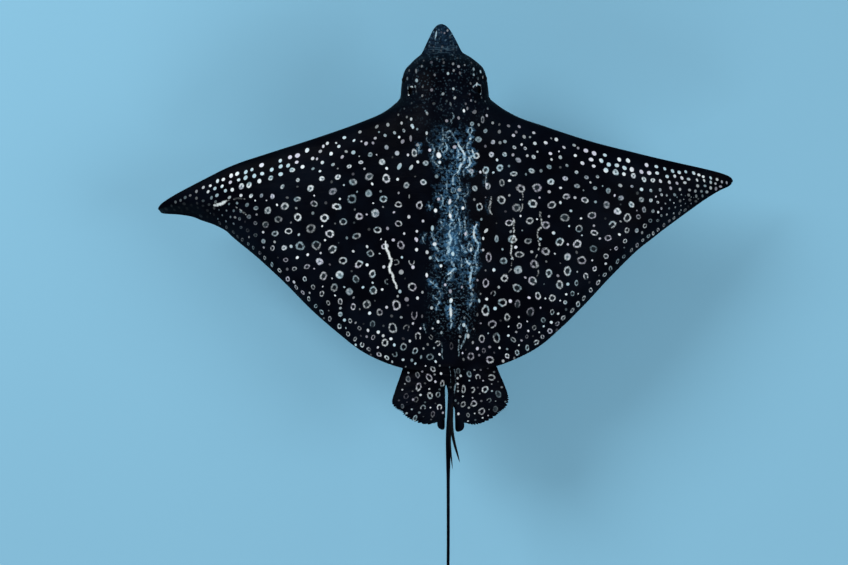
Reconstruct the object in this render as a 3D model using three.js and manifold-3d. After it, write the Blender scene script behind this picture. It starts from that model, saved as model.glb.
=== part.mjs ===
// A life-size display model of a spotted eagle ray, held level on a flat base by two short rods.
// Millimetres, +Z up. The snout points along -Y, the animal's left wing along +X, and the origin
// is the middle of the base plate's underside.
//
// The flesh is one loft, cut into named pieces. Each row of the loft is a slice across the body at
// a distance "back" behind the snout tip. A slice runs between its left and right margins, and its
// upper and lower heights join a domed trunk to a thin wing, both measured from the midplane.

import * as THREE from "three";
import { mergeVertices } from "three/addons/utils/BufferGeometryUtils.js";
import Module from "manifold-3d";

const wasm = await Module();
wasm.setup();

// ---------------------------------------------------------------- driving dimensions

const cutGap = 0.3; // clear space left between neighbouring pieces
const snoutY = -500; // the snout tip, in front of the stand's middle
const flightHeight = 350; // the wing roots' midplane above the floor

const snoutLength = 80; // the soft lobe under and ahead of the head
const snoutTip = { width: 18, length: 20, flare: 0.45 }; // its round end, and how it widens behind
const neckBack = 190; // where the wings leave the head
const trunkHalfWidth = 122; // the cut between trunk and wing
const wingEndBack = 908; // where the wings' hind margins have run into the tail root
const tailRootBack = 930;
const tailTipBack = 3200;
const tailJoints = [1080, 1550, 2150, 2700]; // where the tail is parted into lengths

const wingTip = 761; // half the span, as the wings are held
const wingBendAt = 250; // the wing's highest line, from which it droops to the tip

const eye = { back: 146, side: 96.5, up: 8, radius: 17 };

// ---------------------------------------------------------------- small maths

const clamp = (value, low, high) => Math.min(high, Math.max(low, value));

const ease = (from, to, value) => {
  const share = clamp((value - from) / (to - from), 0, 1);
  return share * share * (3 - 2 * share);
};

// A smooth curve through a few points, which never swings past them.
function through(points) {
  const n = points.length;
  const step = [];
  const slope = [];
  for (let i = 0; i < n - 1; i++) {
    step.push(points[i + 1][0] - points[i][0]);
    slope.push((points[i + 1][1] - points[i][1]) / step[i]);
  }
  const tangent = points.map((_, i) => {
    if (i === 0) return slope[0];
    if (i === n - 1) return slope[n - 2];
    if (slope[i - 1] * slope[i] <= 0) return 0;
    const before = 2 * step[i] + step[i - 1];
    const after = step[i] + 2 * step[i - 1];
    return (before + after) / (before / slope[i - 1] + after / slope[i]);
  });
  return (x) => {
    if (x <= points[0][0]) return points[0][1];
    if (x >= points[n - 1][0]) return points[n - 1][1];
    let i = 0;
    while (x > points[i + 1][0]) i++;
    const t = (x - points[i][0]) / step[i];
    const u = 1 - t;
    return (
      points[i][1] * (1 + 2 * t) * u * u +
      tangent[i] * step[i] * t * u * u +
      points[i + 1][1] * t * t * (3 - 2 * t) -
      tangent[i + 1] * step[i] * t * t * u
    );
  };
}

// ---------------------------------------------------------------- outline seen from above

// Half width of the head behind the snout lobe, then of each wing, then of the tail, by distance
// back. The left wing is swept a little further than the right one, and its tip is hooked.
const headPoints = [
  [80, 54], [86, 65], [94, 77], [104, 90], [116, 101], [135, 109], [165, 113],
];
const leadPoints = [
  [190, 116], [208, 134], [229, 164], [250, 210], [281, 302], [331, 470],
];
const hindPoints = [
  [591, 502], [660, 430], [738, 353], [801, 286], [848, 226], [879, 162], [892, 122],
  [900, 76], [wingEndBack, 38],
];
const tailPoints = [
  [925, 19], [945, 11], [975, 8], [1030, 7.2], [1080, 6.8], [1144, 5.4], [1185, 4.4],
  [1400, 3.9], [2200, 2.8], [3150, 1.3],
];
const tips = {
  left: [
    [354, 554], [379, 609], [403, 662], [428, 713], [448, 741], [464, wingTip], [473, 747],
    [481, 679], [494, 643], [510, 606], [537, 561], [563, 531],
  ],
  right: [
    [349, 531], [364, 587], [377, 647], [390, 704], [403, 741], [423, wingTip], [442, 724],
    [468, 681], [495, 642], [521, 603], [546, 566],
  ],
};
const tipBack = {};
for (const side of ["left", "right"]) tipBack[side] = tips[side].find(([, out]) => out === wingTip)[0];

const snoutOutline = (back) => {
  const { width, length, flare } = snoutTip;
  return flare * back + width * Math.sqrt(1 - (1 - Math.min(back / length, 1)) ** 2);
};
const margins = {};
for (const side of ["left", "right"]) {
  const behindSnout = through([...headPoints, ...leadPoints, ...tips[side], ...hindPoints, ...tailPoints]);
  margins[side] = (back) => {
    if (back <= snoutLength) return snoutOutline(Math.max(back, 0));
    return behindSnout(back);
  };
}

// Where the wing's front and hind margins cross a line at a given distance out from the middle.
function crossing(side, out, from, to) {
  let [near, far] = [from, to];
  const rising = margins[side](far) > margins[side](near);
  for (let i = 0; i < 30; i++) {
    const middle = (near + far) / 2;
    if (margins[side](middle) > out === rising) far = middle;
    else near = middle;
  }
  return (near + far) / 2;
}
const wingTable = {};
for (const side of ["left", "right"]) {
  const front = [];
  const hind = [];
  for (let out = 116; out < wingTip; out += 4) {
    front.push([out, crossing(side, out, neckBack - 6, tipBack[side])]);
    hind.push([out, crossing(side, out, tipBack[side], wingEndBack)]);
  }
  front.push([wingTip, tipBack[side]]);
  hind.push([wingTip, tipBack[side]]);
  wingTable[side] = { front: through(front), hind: through(hind) };
}

// ---------------------------------------------------------------- heights

// Above and below the midplane on the centre line, by distance back.
const crown = through([
  [0, 0], [4, 5], [25, 10], [60, 15], [76, 22], [92, 46], [115, 61], [150, 70], [200, 79],
  [300, 94], [400, 97], [550, 85], [700, 62], [850, 36], [908, 25], [945, 12], [975, 8.5],
]);
const belly = through([
  [0, 0], [4, 5], [25, 10], [60, 14], [76, 19], [110, 42], [150, 54], [250, 64], [400, 68],
  [600, 57], [800, 36], [908, 21], [945, 11], [975, 8],
]);
// The midplane itself: low at the snout lobe, level through the trunk, and the tail's slow wave.
const midline = through([
  [0, -30], [40, -24], [80, -16], [125, -2], [190, 0], [800, 0], [950, 10], [1150, 16],
  [1700, -4], [2400, 10], [3200, 66],
]);
const sway = through([
  [890, 0], [945, -4.5], [990, -3], [1082, 3], [1144, 4.4], [1407, 10.4], [1900, 48],
  [2400, 70], [2850, 40], [3200, -34],
]);
const arch = through([
  [0, 0], [120, 6], [wingBendAt, 12], [400, 0], [550, -32], [650, -66], [wingTip, -112],
]);
// Half the wing's greatest thickness at each distance out.
const wingDepth = through([
  [0, 44], [120, 41], [200, 34], [300, 26], [400, 18.5], [500, 12.5], [650, 5.5],
  [wingTip, 2.2],
]);
const domeWidth = through([
  [0, 200], [190, 150], [300, 132], [550, 122], [750, 92], [908, 46], [975, 40],
]);
const marginDepth = 1.2; // half the thickness that a wing keeps close to its very edge
const marginReach = 4;
const undersideShare = 0.92; // the wing is a little flatter below

const hindCurl = { drop: 30, reach: 80 };
const leadDip = { drop: 9, reach: 60 };
const washout = 22; // how much lower the hind margin hangs than the front one, near the tip
const tipFold = { drop: 24, from: 560, to: 690 }; // the left tip's hind half folds down

// The thickness of a wing section from its front margin (0) to its hind one (1), with peak 1.
const section = (t) =>
  2.969 * Math.sqrt(t) - 1.26 * t - 3.516 * t ** 2 + 2.843 * t ** 3 - 1.015 * t ** 4;

const chordShare = (side, out, back) => {
  const { front, hind } = wingTable[side];
  const from = front(out);
  return clamp((back - from) / Math.max(hind(out) - from, 1), 0, 1);
};

// How far the wing's midplane lies above or below the trunk's.
function wingRise(side, out, back) {
  const { front, hind } = wingTable[side];
  const outside = ease(110, 260, out);
  const toHind = clamp(1 - (hind(out) - back) / hindCurl.reach, 0, 1);
  const toFront = clamp(1 - (back - front(out)) / leadDip.reach, 0, 1);
  const share = chordShare(side, out, back);
  let rise = arch(out);
  rise -= outside * ease(wingTip, 600, out) * hindCurl.drop * toHind ** 2;
  rise -= outside * leadDip.drop * toFront ** 2;
  rise -= washout * ease(300, wingTip, out) * share;
  if (side === "left") {
    rise -= tipFold.drop * ease(tipFold.from, tipFold.to, out) * ease(0.4, 1, share);
  }
  return rise;
}

// One slice's shape: its margins, and the heights of its upper and lower surfaces at a point.
function slice(back) {
  const width = { left: margins.left(back), right: margins.right(back) };
  const slope = {};
  for (const side of ["left", "right"]) {
    slope[side] = (margins[side](back + 1) - margins[side](Math.max(back - 1, 0))) / 2;
  }
  const inHead = 1 - ease(160, 260, back);
  const inTail = ease(890, 930, back);
  const up = crown(back);
  const down = belly(back);
  return {
    width,
    heights(side, out) {
      const edge = Math.max(width[side] - out, 0) / Math.hypot(1, slope[side]);
      const inDisc = (1 - inHead) * (1 - inTail);
      const reach = Math.max(width[side] * (inHead * 0.85 + inTail), 60 * inDisc, 0.01);
      const round = Math.sqrt(Math.max(1 - (1 - Math.min(edge / reach, 1)) ** 2, 0));
      const bell = 1 / (1 + (out / (domeWidth(back) * (1 + inTail))) ** 2.6);
      const inWing = back > neckBack - 6 && back < wingEndBack;
      const thin = inWing ? wingDepth(out) * Math.max(section(chordShare(side, out, back)), 0) : 0;
      const rim = marginDepth * Math.sqrt(Math.min(edge / marginReach, 1)) * (inWing ? 1 : 0);
      const join = (dome) => Math.cbrt((thin + rim) ** 3 + (round * dome * bell) ** 3);
      const middle = midline(back) + (inWing ? wingRise(side, out, back) : 0);
      return [middle + join(up), middle - join(down) * undersideShare];
    },
  };
}

// ---------------------------------------------------------------- geometry helpers

const place = (x, back, z) => new THREE.Vector3(x, snoutY + back, flightHeight + z);

function geometryOf(points, faces) {
  const geometry = new THREE.BufferGeometry().setFromPoints(points);
  geometry.setIndex(faces.flat());
  return geometry;
}

// Rings of equal length joined into a closed skin, with a point or a flat fan at each end.
function loft(rings) {
  const size = rings[0].length;
  const points = rings.flat();
  const faces = [];
  for (let i = 0; i + 1 < rings.length; i++) {
    for (let j = 0; j < size; j++) {
      const a = i * size + j;
      const b = i * size + ((j + 1) % size);
      faces.push([a, b, b + size], [a, b + size, a + size]);
    }
  }
  for (const ring of [0, rings.length - 1]) {
    const middle = rings[ring].reduce((sum, p) => sum.add(p), new THREE.Vector3()).divideScalar(size);
    points.push(middle);
    for (let j = 0; j < size; j++) {
      const a = ring * size + j;
      const b = ring * size + ((j + 1) % size);
      faces.push(ring ? [a, b, points.length - 1] : [b, a, points.length - 1]);
    }
  }
  return geometryOf(points, faces);
}

// A closed three.js geometry as a solid that can be cut, turned outwards if its faces look in.
function solidOf(geometry) {
  const bare = geometry.index ? geometry.toNonIndexed() : geometry.clone();
  bare.deleteAttribute("normal");
  bare.deleteAttribute("uv");
  const merged = mergeVertices(bare, 1e-3);
  const triVerts = new Uint32Array(merged.index.array);
  const vertProperties = merged.attributes.position.array;
  const made = new wasm.Manifold(new wasm.Mesh({ numProp: 3, vertProperties, triVerts }));
  if (made.volume() > 0) return made;
  for (let i = 0; i < triVerts.length; i += 3) {
    [triVerts[i + 1], triVerts[i + 2]] = [triVerts[i + 2], triVerts[i + 1]];
  }
  return new wasm.Manifold(new wasm.Mesh({ numProp: 3, vertProperties, triVerts }));
}

function geometryFrom(solid) {
  const { numProp, vertProperties, triVerts } = solid.getMesh();
  const places = [];
  for (let i = 0; i < vertProperties.length; i += numProp) {
    places.push(vertProperties[i], vertProperties[i + 1], vertProperties[i + 2]);
  }
  const geometry = new THREE.BufferGeometry();
  geometry.setAttribute("position", new THREE.Float32BufferAttribute(places, 3));
  geometry.setIndex([...triVerts]);
  geometry.computeVertexNormals();
  return geometry;
}

// A block between two corners, given as [x, distance back, z].
function block(low, high) {
  const size = high.map((value, i) => value - low[i]);
  const box = new THREE.BoxGeometry(...size);
  box.translate(...place(low[0] + size[0] / 2, low[1] + size[1] / 2, low[2] + size[2] / 2).toArray());
  return solidOf(box);
}

function ball(centre, radius) {
  const sphere = new THREE.SphereGeometry(radius, 16, 9);
  sphere.translate(...centre.toArray());
  return solidOf(sphere);
}

// ---------------------------------------------------------------- the flesh

const half = cutGap / 2;
const innerColumns = 3;
const outerColumns = 5;
const longestRow = 42; // between two slices, along the body
const widestStep = 60; // and along a margin

function rowPlaces() {
  const rows = [0.4, 3, 9, 20, 38, 60, 79, 85, 94];
  let back = 104;
  while (back < tailJoints[0] - 8) {
    rows.push(back);
    let step = back < neckBack ? 20 : longestRow;
    for (const side of ["left", "right"]) {
      while (Math.abs(margins[side](back + step) - margins[side](back)) > widestStep && step > 5) {
        step *= 0.8;
      }
    }
    back += step;
  }
  return [...rows, tailJoints[0] - half];
}

// The columns across half a slice: a few over the trunk, and the rest closing up to the margin.
function columnsAcross(width) {
  const shoulder = Math.min(0.7 * width, 112);
  const outs = [];
  for (let j = 0; j <= innerColumns; j++) outs.push((shoulder * j) / innerColumns);
  for (let j = 1; j <= outerColumns; j++) {
    outs.push(shoulder + (width - shoulder) * Math.sin((Math.PI / 2) * (j / outerColumns)));
  }
  return outs;
}

function bodyRing(back) {
  const { width, heights } = slice(back);
  const shift = sway(back);
  const upper = [];
  const lower = [];
  const add = (side, sign, out) => {
    const [high, low] = heights(side, out);
    upper.push(place(sign * out + shift, back, high));
    lower.push(place(sign * out + shift, back, low));
  };
  for (const out of columnsAcross(width.left).slice(1).reverse()) add("left", 1, out);
  for (const out of columnsAcross(width.right)) add("right", -1, out);
  return [...upper, ...lower.slice(1, -1).reverse()];
}

const flesh = solidOf(loft(rowPlaces().map(bodyRing)));

// A length of the whip, round and slowly tapering, from one parting to the next.
function whipGeometry(from, to) {
  const sides = 10;
  const steps = Math.ceil((to - from) / 75);
  const rings = [];
  for (let i = 0; i <= steps; i++) {
    const back = from + ((to - from) * i) / steps;
    const radius = margins.left(back);
    const ring = [];
    for (let j = 0; j < sides; j++) {
      const turn = (j / sides) * 2 * Math.PI;
      const z = midline(back) + 1.15 * radius * Math.sin(turn);
      ring.push(place(sway(back) + radius * Math.cos(turn), back, z));
    }
    rings.push(ring);
  }
  return loft(rings);
}

// ---------------------------------------------------------------- fins at the tail root

// A pelvic fin fans out from the trunk's side: its root line, which leaves the trunk and runs
// back beside the tail with a narrow slit between, and its free margin from front to back.
const vectors = (points) => points.map(([x, back]) => new THREE.Vector2(x, back));
const pelvic = {
  root: {
    left: new THREE.SplineCurve(vectors([[42, 860], [25, 912], [9, 944], [8, 990], [10, 1022]])),
    right: new THREE.SplineCurve(vectors([[42, 860], [29, 912], [17, 944], [16, 990], [18, 1022]])),
  },
  margin: new THREE.SplineCurve(
    vectors([
      [112, 872], [129, 912], [144, 950], [153, 980], [147, 998], [127, 1014], [98, 1031],
      [62, 1041], [36, 1037],
    ]),
  ),
  rootDepth: 8,
  freeDepth: 3,
  edgeDepth: 1.3,
  droop: 26,
  drop: 6, // of its root below the tail's middle
};

function finGeometry(side, sign, alongCount, acrossCount) {
  const rings = [];
  for (let i = 0; i <= alongCount; i++) {
    const along = i / alongCount;
    const root = pelvic.root[side].getPoint(along);
    const edge = pelvic.margin.getPoint(along);
    const ends = Math.sin(Math.PI * clamp(0.06 + 0.88 * along, 0, 1)) ** 0.35;
    const thick = pelvic.freeDepth + (pelvic.rootDepth - pelvic.freeDepth) * ease(960, 920, root.y);
    const upper = [];
    const lower = [];
    for (let j = 0; j <= acrossCount; j++) {
      const across = Math.sin((Math.PI / 2) * (j / acrossCount));
      const at = root.clone().lerp(edge, across);
      const depth = (thick * (1 - across) ** 0.8 + pelvic.edgeDepth * Math.sqrt(1 - across)) * ends;
      const rise = midline(at.y) - pelvic.drop - pelvic.droop * across ** 2;
      upper.push(place(sign * at.x, at.y, rise + depth));
      lower.push(place(sign * at.x, at.y, rise - depth));
    }
    rings.push([...upper, ...lower.slice(0, -1).reverse()]);
  }
  return loft(rings);
}

// Short claspers of a young male, under the pelvic fins' inner corners.
const clasper = { from: 975, to: 1054, side: { left: 20, right: 26 }, halfWidth: 11.5, depth: 5.5, drop: 19 };

function clasperGeometry(side, sign) {
  const rings = [];
  const count = 8;
  for (let i = 0; i <= count; i++) {
    const back = clasper.from + (clasper.to - clasper.from) * Math.sin((Math.PI / 2) * (i / count));
    const share = clamp((clasper.to - back) / 14, 0.0004, 1);
    const round = Math.sqrt(1 - (1 - share) ** 2);
    const ring = [];
    for (let j = 0; j < 10; j++) {
      const turn = (j / 10) * 2 * Math.PI;
      const x = sign * clasper.side[side] + clasper.halfWidth * round * Math.cos(turn);
      ring.push(place(x, back, midline(back) - clasper.drop + clasper.depth * round * Math.sin(turn)));
    }
    rings.push(ring);
  }
  return loft(rings);
}

// The small dorsal fin: an upright blade on the tail root.
const dorsal = { from: 884, to: 952, height: 34, halfWidth: 5.5 };

function dorsalGeometry() {
  const rings = [];
  const levels = 7;
  for (let i = 0; i <= levels; i++) {
    const share = Math.sin((Math.PI / 2) * (i / levels));
    const front = dorsal.from + 34 * share ** 1.3;
    const hind = dorsal.to + 7 * share - 16 * share ** 4;
    const middle = (front + hind) / 2;
    const long = ((hind - front) / 2) * Math.sqrt(Math.max(1 - share ** 8, 0.004));
    const wide = dorsal.halfWidth * (1 - 0.62 * share) * Math.sqrt(Math.max(1 - share ** 8, 0.01));
    const ring = [];
    for (let j = 0; j < 12; j++) {
      const turn = (j / 12) * 2 * Math.PI;
      const z = midline(dorsal.to) + 4 + share * dorsal.height;
      ring.push(place(sway(middle) + wide * Math.sin(turn), middle + long * Math.cos(turn), z));
    }
    rings.push(ring);
  }
  return loft(rings);
}

// A stinging spine: a flat tapered dagger with toothed edges, lying back over the tail. The line
// it follows is given by its root, a middle point and its tip, as [x, distance back, z].
const spines = [
  { name: "sting_upper", line: [[-7, 985, 17], [-12, 1060, 29], [-24, 1138, 38]], width: 3.9, depth: 1.8 },
  { name: "sting_lower", line: [[-3, 1004, 17], [-1, 1080, 28], [-6.5, 1156, 30]], width: 2.8, depth: 1.5 },
];

function spineGeometry({ line, width, depth }) {
  const curve = new THREE.CatmullRomCurve3(line.map((at) => place(...at)));
  const teeth = 9;
  const rings = [];
  for (let i = 0; i <= teeth * 2; i++) {
    const along = i / (teeth * 2);
    const tangent = curve.getTangent(along);
    const sideways = new THREE.Vector3(-tangent.y, tangent.x, 0).normalize();
    const upwards = sideways.clone().cross(tangent).normalize();
    const taper = Math.min(1, 0.6 + along * 4) * Math.sqrt(Math.max(1 - along ** 1.7, 0.01));
    const tooth = i % 2 ? 1 : 0.78;
    const ring = [];
    for (let j = 0; j < 6; j++) {
      const turn = (j / 6) * 2 * Math.PI;
      const at = curve.getPoint(along);
      at.addScaledVector(sideways, width * taper * tooth * Math.cos(turn));
      at.addScaledVector(upwards, depth * taper * Math.sin(turn));
      ring.push(at);
    }
    rings.push(ring);
  }
  return loft(rings);
}

// ---------------------------------------------------------------- the stand

const stand = {
  width: 380,
  length: 430,
  thickness: 18,
  corner: 40,
  bevel: 3,
  rodRadius: 9,
  rodBacks: [380, 620], // behind the snout tip
  seatRadius: 26,
  seatHeight: 14,
  intoBody: 34,
};

const rodSides = 18;

function roundedRectangle(width, length, corner) {
  const [x, y] = [width / 2, length / 2];
  const shape = new THREE.Shape();
  shape.moveTo(-x + corner, -y);
  shape.lineTo(x - corner, -y);
  shape.absarc(x - corner, -y + corner, corner, -Math.PI / 2, 0);
  shape.lineTo(x, y - corner);
  shape.absarc(x - corner, y - corner, corner, 0, Math.PI / 2);
  shape.lineTo(-x + corner, y);
  shape.absarc(-x + corner, y - corner, corner, Math.PI / 2, Math.PI);
  shape.lineTo(-x, -y + corner);
  shape.absarc(-x + corner, -y + corner, corner, Math.PI, 1.5 * Math.PI);
  return shape;
}

function baseGeometry() {
  const { width, length, thickness, corner, bevel } = stand;
  const shape = roundedRectangle(width - 2 * bevel, length - 2 * bevel, corner);
  const base = new THREE.ExtrudeGeometry(shape, {
    depth: thickness - 2 * bevel,
    bevelThickness: bevel,
    bevelSize: bevel,
    bevelSegments: 1,
    curveSegments: 6,
  });
  base.translate(0, 0, bevel);
  return base;
}

// A rod with a turned seat at its foot, from the base plate up into the belly.
function rodGeometry(back) {
  const bottom = stand.thickness + cutGap;
  const top = flightHeight + slice(back).heights("left", 0)[1] + stand.intoBody;
  const { rodRadius, seatRadius, seatHeight } = stand;
  const profile = [
    [0, bottom], [seatRadius, bottom],
    [seatRadius, bottom + seatHeight * 0.5],
    [seatRadius * 0.8, bottom + seatHeight * 0.75],
    [rodRadius, bottom + seatHeight],
    [rodRadius, top], [0, top],
  ];
  const rod = new THREE.LatheGeometry(
    profile.map(([r, z]) => new THREE.Vector2(r, z)),
    rodSides,
  );
  rod.rotateX(Math.PI / 2);
  rod.translate(0, snoutY + back, 0);
  return rod;
}

function socket(back) {
  const reach = 200;
  const radius = stand.rodRadius + cutGap;
  const hole = new THREE.CylinderGeometry(radius, radius, reach, rodSides);
  hole.rotateX(Math.PI / 2);
  const top = flightHeight + slice(back).heights("left", 0)[1] + stand.intoBody + cutGap;
  hole.translate(0, snoutY + back, top - reach / 2);
  return solidOf(hole);
}

// ---------------------------------------------------------------- cutting and gathering

const materials = {
  skin: { color: 0x0b1017, roughness: 0.45, metalness: 0 },
  eye: { color: 0x07090c, roughness: 0.08, metalness: 0 },
  spine: { color: 0x241d18, roughness: 0.5, metalness: 0 },
  steel: { color: 0xa8abae, roughness: 0.3, metalness: 1 },
  plate: { color: 0x2a2c2e, roughness: 0.5, metalness: 0.6 },
};

const ray = new THREE.Group();

function add(name, solid, material) {
  const mesh = new THREE.Mesh(geometryFrom(solid), new THREE.MeshStandardMaterial(materials[material]));
  mesh.name = name;
  ray.add(mesh);
}

const far = 900; // past the model in every direction
function between(fromBack, toBack, fromX = -far, toX = far) {
  return block([fromX, fromBack, -far], [toX, toBack, far]);
}

// Everything that is cut out of the flesh, so that what fits there keeps its gap.
const eyeCentre = (sign) => place(sign * eye.side, eye.back, eye.up);
const sockets = stand.rodBacks.map(socket);
const hollowed = [-1, 1].reduce(
  (body, sign) => body.subtract(ball(eyeCentre(sign), eye.radius + cutGap)),
  sockets.reduce((body, hole) => body.subtract(hole), flesh),
);

const wideCut = trunkHalfWidth + half;
add("snout", hollowed.intersect(between(-5, snoutLength - half)), "skin");
add("head", hollowed.intersect(between(snoutLength + half, neckBack - half)), "skin");
const trunk = hollowed.intersect(
  between(neckBack + half, tailRootBack - half, -trunkHalfWidth + half, trunkHalfWidth - half),
);
add("trunk", trunk, "skin");
add("wing_left", hollowed.intersect(between(neckBack + half, tailRootBack, wideCut, far)), "skin");
add("wing_right", hollowed.intersect(between(neckBack + half, tailRootBack, -far, -wideCut)), "skin");

add("tail_1", hollowed.intersect(between(tailRootBack + half, tailJoints[0] + half)), "skin");
const whipEnds = [...tailJoints, tailTipBack];
for (let i = 0; i + 1 < whipEnds.length; i++) {
  const length = whipGeometry(whipEnds[i] + half, whipEnds[i + 1] - half);
  add(`tail_${i + 2}`, solidOf(length), "skin");
}

// The flesh a gap larger, for cutting what meets it.
function grown(geometry, by) {
  const merged = mergeVertices(geometry.clone(), 1e-3);
  merged.computeVertexNormals();
  const { position, normal } = merged.attributes;
  for (let i = 0; i < position.count; i++) {
    position.setXYZ(
      i,
      position.getX(i) + normal.getX(i) * by,
      position.getY(i) + normal.getY(i) * by,
      position.getZ(i) + normal.getZ(i) * by,
    );
  }
  return solidOf(merged);
}
const largestPiece = (solid) =>
  solid.decompose().reduce((best, piece) => (piece.volume() > best.volume() ? piece : best));
const fleshRoom = grown(geometryFrom(flesh), 2 * cutGap);

for (const [name, sign] of [["left", 1], ["right", -1]]) {
  const clasperSolid = solidOf(clasperGeometry(name, sign));
  const clasperRoom = grown(geometryFrom(clasperSolid), 2 * cutGap);
  const fin = solidOf(finGeometry(name, sign, 16, 5));
  add(`pelvic_fin_${name}`, largestPiece(fin.subtract(fleshRoom).subtract(clasperRoom)), "skin");
  add(`clasper_${name}`, largestPiece(clasperSolid.subtract(fleshRoom)), "skin");
  add(`eye_${name}`, ball(eyeCentre(sign), eye.radius), "eye");
}
add("dorsal_fin", largestPiece(solidOf(dorsalGeometry()).subtract(fleshRoom)), "skin");
for (const spine of spines) {
  add(spine.name, largestPiece(solidOf(spineGeometry(spine)).subtract(fleshRoom)), "spine");
}

add("stand_base", solidOf(baseGeometry()), "plate");
stand.rodBacks.forEach((back, i) => {
  add(["stand_rod_front", "stand_rod_rear"][i], solidOf(rodGeometry(back)), "steel");
});

export default ray;
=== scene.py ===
import math

import bmesh
import bpy
import numpy as np
from mathutils import Matrix, Vector


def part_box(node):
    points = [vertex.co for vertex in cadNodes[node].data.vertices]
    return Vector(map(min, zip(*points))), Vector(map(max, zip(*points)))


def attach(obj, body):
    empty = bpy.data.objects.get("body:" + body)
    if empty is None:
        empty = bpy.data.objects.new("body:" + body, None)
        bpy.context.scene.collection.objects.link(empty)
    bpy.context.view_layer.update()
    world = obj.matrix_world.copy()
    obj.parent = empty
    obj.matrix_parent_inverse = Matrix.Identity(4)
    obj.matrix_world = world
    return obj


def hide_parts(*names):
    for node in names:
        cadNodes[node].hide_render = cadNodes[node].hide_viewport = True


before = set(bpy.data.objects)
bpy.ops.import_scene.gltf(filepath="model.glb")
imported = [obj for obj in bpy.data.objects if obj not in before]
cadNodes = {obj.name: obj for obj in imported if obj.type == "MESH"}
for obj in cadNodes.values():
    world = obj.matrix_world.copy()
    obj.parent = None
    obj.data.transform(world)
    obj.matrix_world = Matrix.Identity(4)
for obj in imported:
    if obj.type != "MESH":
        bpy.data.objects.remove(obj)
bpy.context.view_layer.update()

mm = 0.001


def linked(name, data):
    piece = bpy.data.objects.new(name, data)
    bpy.context.collection.objects.link(piece)
    return piece


def meshOf(build, name):
    data = bpy.data.meshes.new(name)
    build.to_mesh(data)
    build.free()
    return data


# The camera: straight above, a little turned, with the snout at the top.

view = {"above": 7.0, "x": 0.0614, "y": 0.171, "lens": 114.3, "turn": 1.1458}


def makeCamera(midplane):
    data = bpy.data.cameras.new("camera")
    data.lens = view["lens"]
    data.clip_end = 50
    camera = linked("camera", data)
    camera.location = (view["x"], view["y"], midplane + view["above"])
    camera.rotation_euler = (0, 0, math.radians(180 - view["turn"]))
    bpy.context.scene.camera = camera


# Where the animal lies: millimetres behind the snout tip and above the wings' midplane, from the
# frame's left eye.

eyeSize = {"back": 146, "up": 8, "radius": 17, "inset": 2.8}
eyeLow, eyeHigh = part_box("eye_left")
eyeMiddle = (Vector(eyeLow) + Vector(eyeHigh)) / 2
snoutY = eyeMiddle.y - eyeSize["back"] * mm
flightHeight = eyeMiddle.z - eyeSize["up"] * mm
makeCamera(flightHeight)


def place(x, back, z):
    return np.stack(np.broadcast_arrays(x * mm, snoutY + back * mm, flightHeight + z * mm), -1)


# Small maths on numpy arrays.

def ease(low, high, value):
    share = np.clip((value - low) / (high - low), 0, 1)
    return share * share * (3 - 2 * share)


def hump(value, middle, spread):
    return np.exp(-((value - middle) / spread) ** 2)


def through(points):  # a smooth curve through a few points, which never swings past them
    xs, ys = np.array(points, float).T
    step = np.diff(xs)
    slope = np.diff(ys) / step
    tangent = np.concatenate([slope[:1], np.zeros(len(xs) - 2), slope[-1:]])
    for i in range(1, len(xs) - 1):
        if slope[i - 1] * slope[i] > 0:
            before = 2 * step[i] + step[i - 1]
            after = step[i] + 2 * step[i - 1]
            tangent[i] = (before + after) / (before / slope[i - 1] + after / slope[i])

    def curve(x):
        x = np.clip(x, xs[0], xs[-1])
        i = np.clip(np.searchsorted(xs, x, side="right") - 1, 0, len(xs) - 2)
        t = (x - xs[i]) / step[i]
        u = 1 - t
        start = ys[i] * (1 + 2 * t) * u * u + tangent[i] * step[i] * t * u * u
        return start + ys[i + 1] * t * t * (3 - 2 * t) - tangent[i + 1] * step[i] * t * t * u

    return curve


# The outline seen from above: [distance back, half width], in millimetres, on each side.

snoutPoints = [
    [-3, 0], [-2.6, 3.6], [-1.6, 6.8], [0, 10], [3, 14], [8, 18.8], [14, 23], [22, 27.3], [31, 32],
    [44, 38.5], [60, 46], [70, 51], [75.5, 55],
]
headPoints = [[79, 60], [86, 70], [92, 77.5], [101, 87], [116, 101], [136, 108.5], [165, 113], [192, 116]]
sidePoints = {
    "left": [
        [208, 131], [229, 162], [250, 214], [281, 307], [331, 478], [345, 527], [360, 570], [379, 613],
        [391, 639], [403, 665], [428, 717], [441, 740], [452, 755], [463, 761], [470, 759], [474, 750],
        [478, 708], [485, 671], [495, 647], [506, 616], [516, 595], [527, 577], [538, 566], [558, 543],
        [591, 503.5], [660, 430], [738, 355], [801, 285], [848, 225],
    ],
    "right": [
        [208, 132], [229, 161], [250, 201], [270, 257], [281, 287], [317, 396], [340, 484], [356, 548],
        [372, 618], [388, 690], [399, 732], [406, 750], [413, 758.5], [420, 761], [427, 758], [433, 750],
        [441, 731], [462, 693], [496, 642], [531, 591], [552, 561], [570, 537], [591, 508],
        [660, 432.5], [738, 355.5], [801, 288.5], [848, 228.5],
    ],
}
trunkPoints = [[879, 162], [892, 122], [900, 76], [908, 38]]
tailPoints = [
    [925, 19], [945, 11], [975, 8], [1030, 7.2], [1080, 6.8], [1144, 5.4], [1185, 4.4], [1400, 3.9],
    [2200, 2.8], [3150, 1.3],
]
wing = {"root": 116, "tip": 761, "start": 190, "end": 908}
signs = {"left": 1, "right": -1}
tipBack = {side: max(points, key=lambda p: p[1])[0] for side, points in sidePoints.items()}
tipStart = snoutPoints[0][0]
ends = (snoutPoints + headPoints, trunkPoints + tailPoints)
margins = {side: through(ends[0] + points + ends[1]) for side, points in sidePoints.items()}


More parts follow.
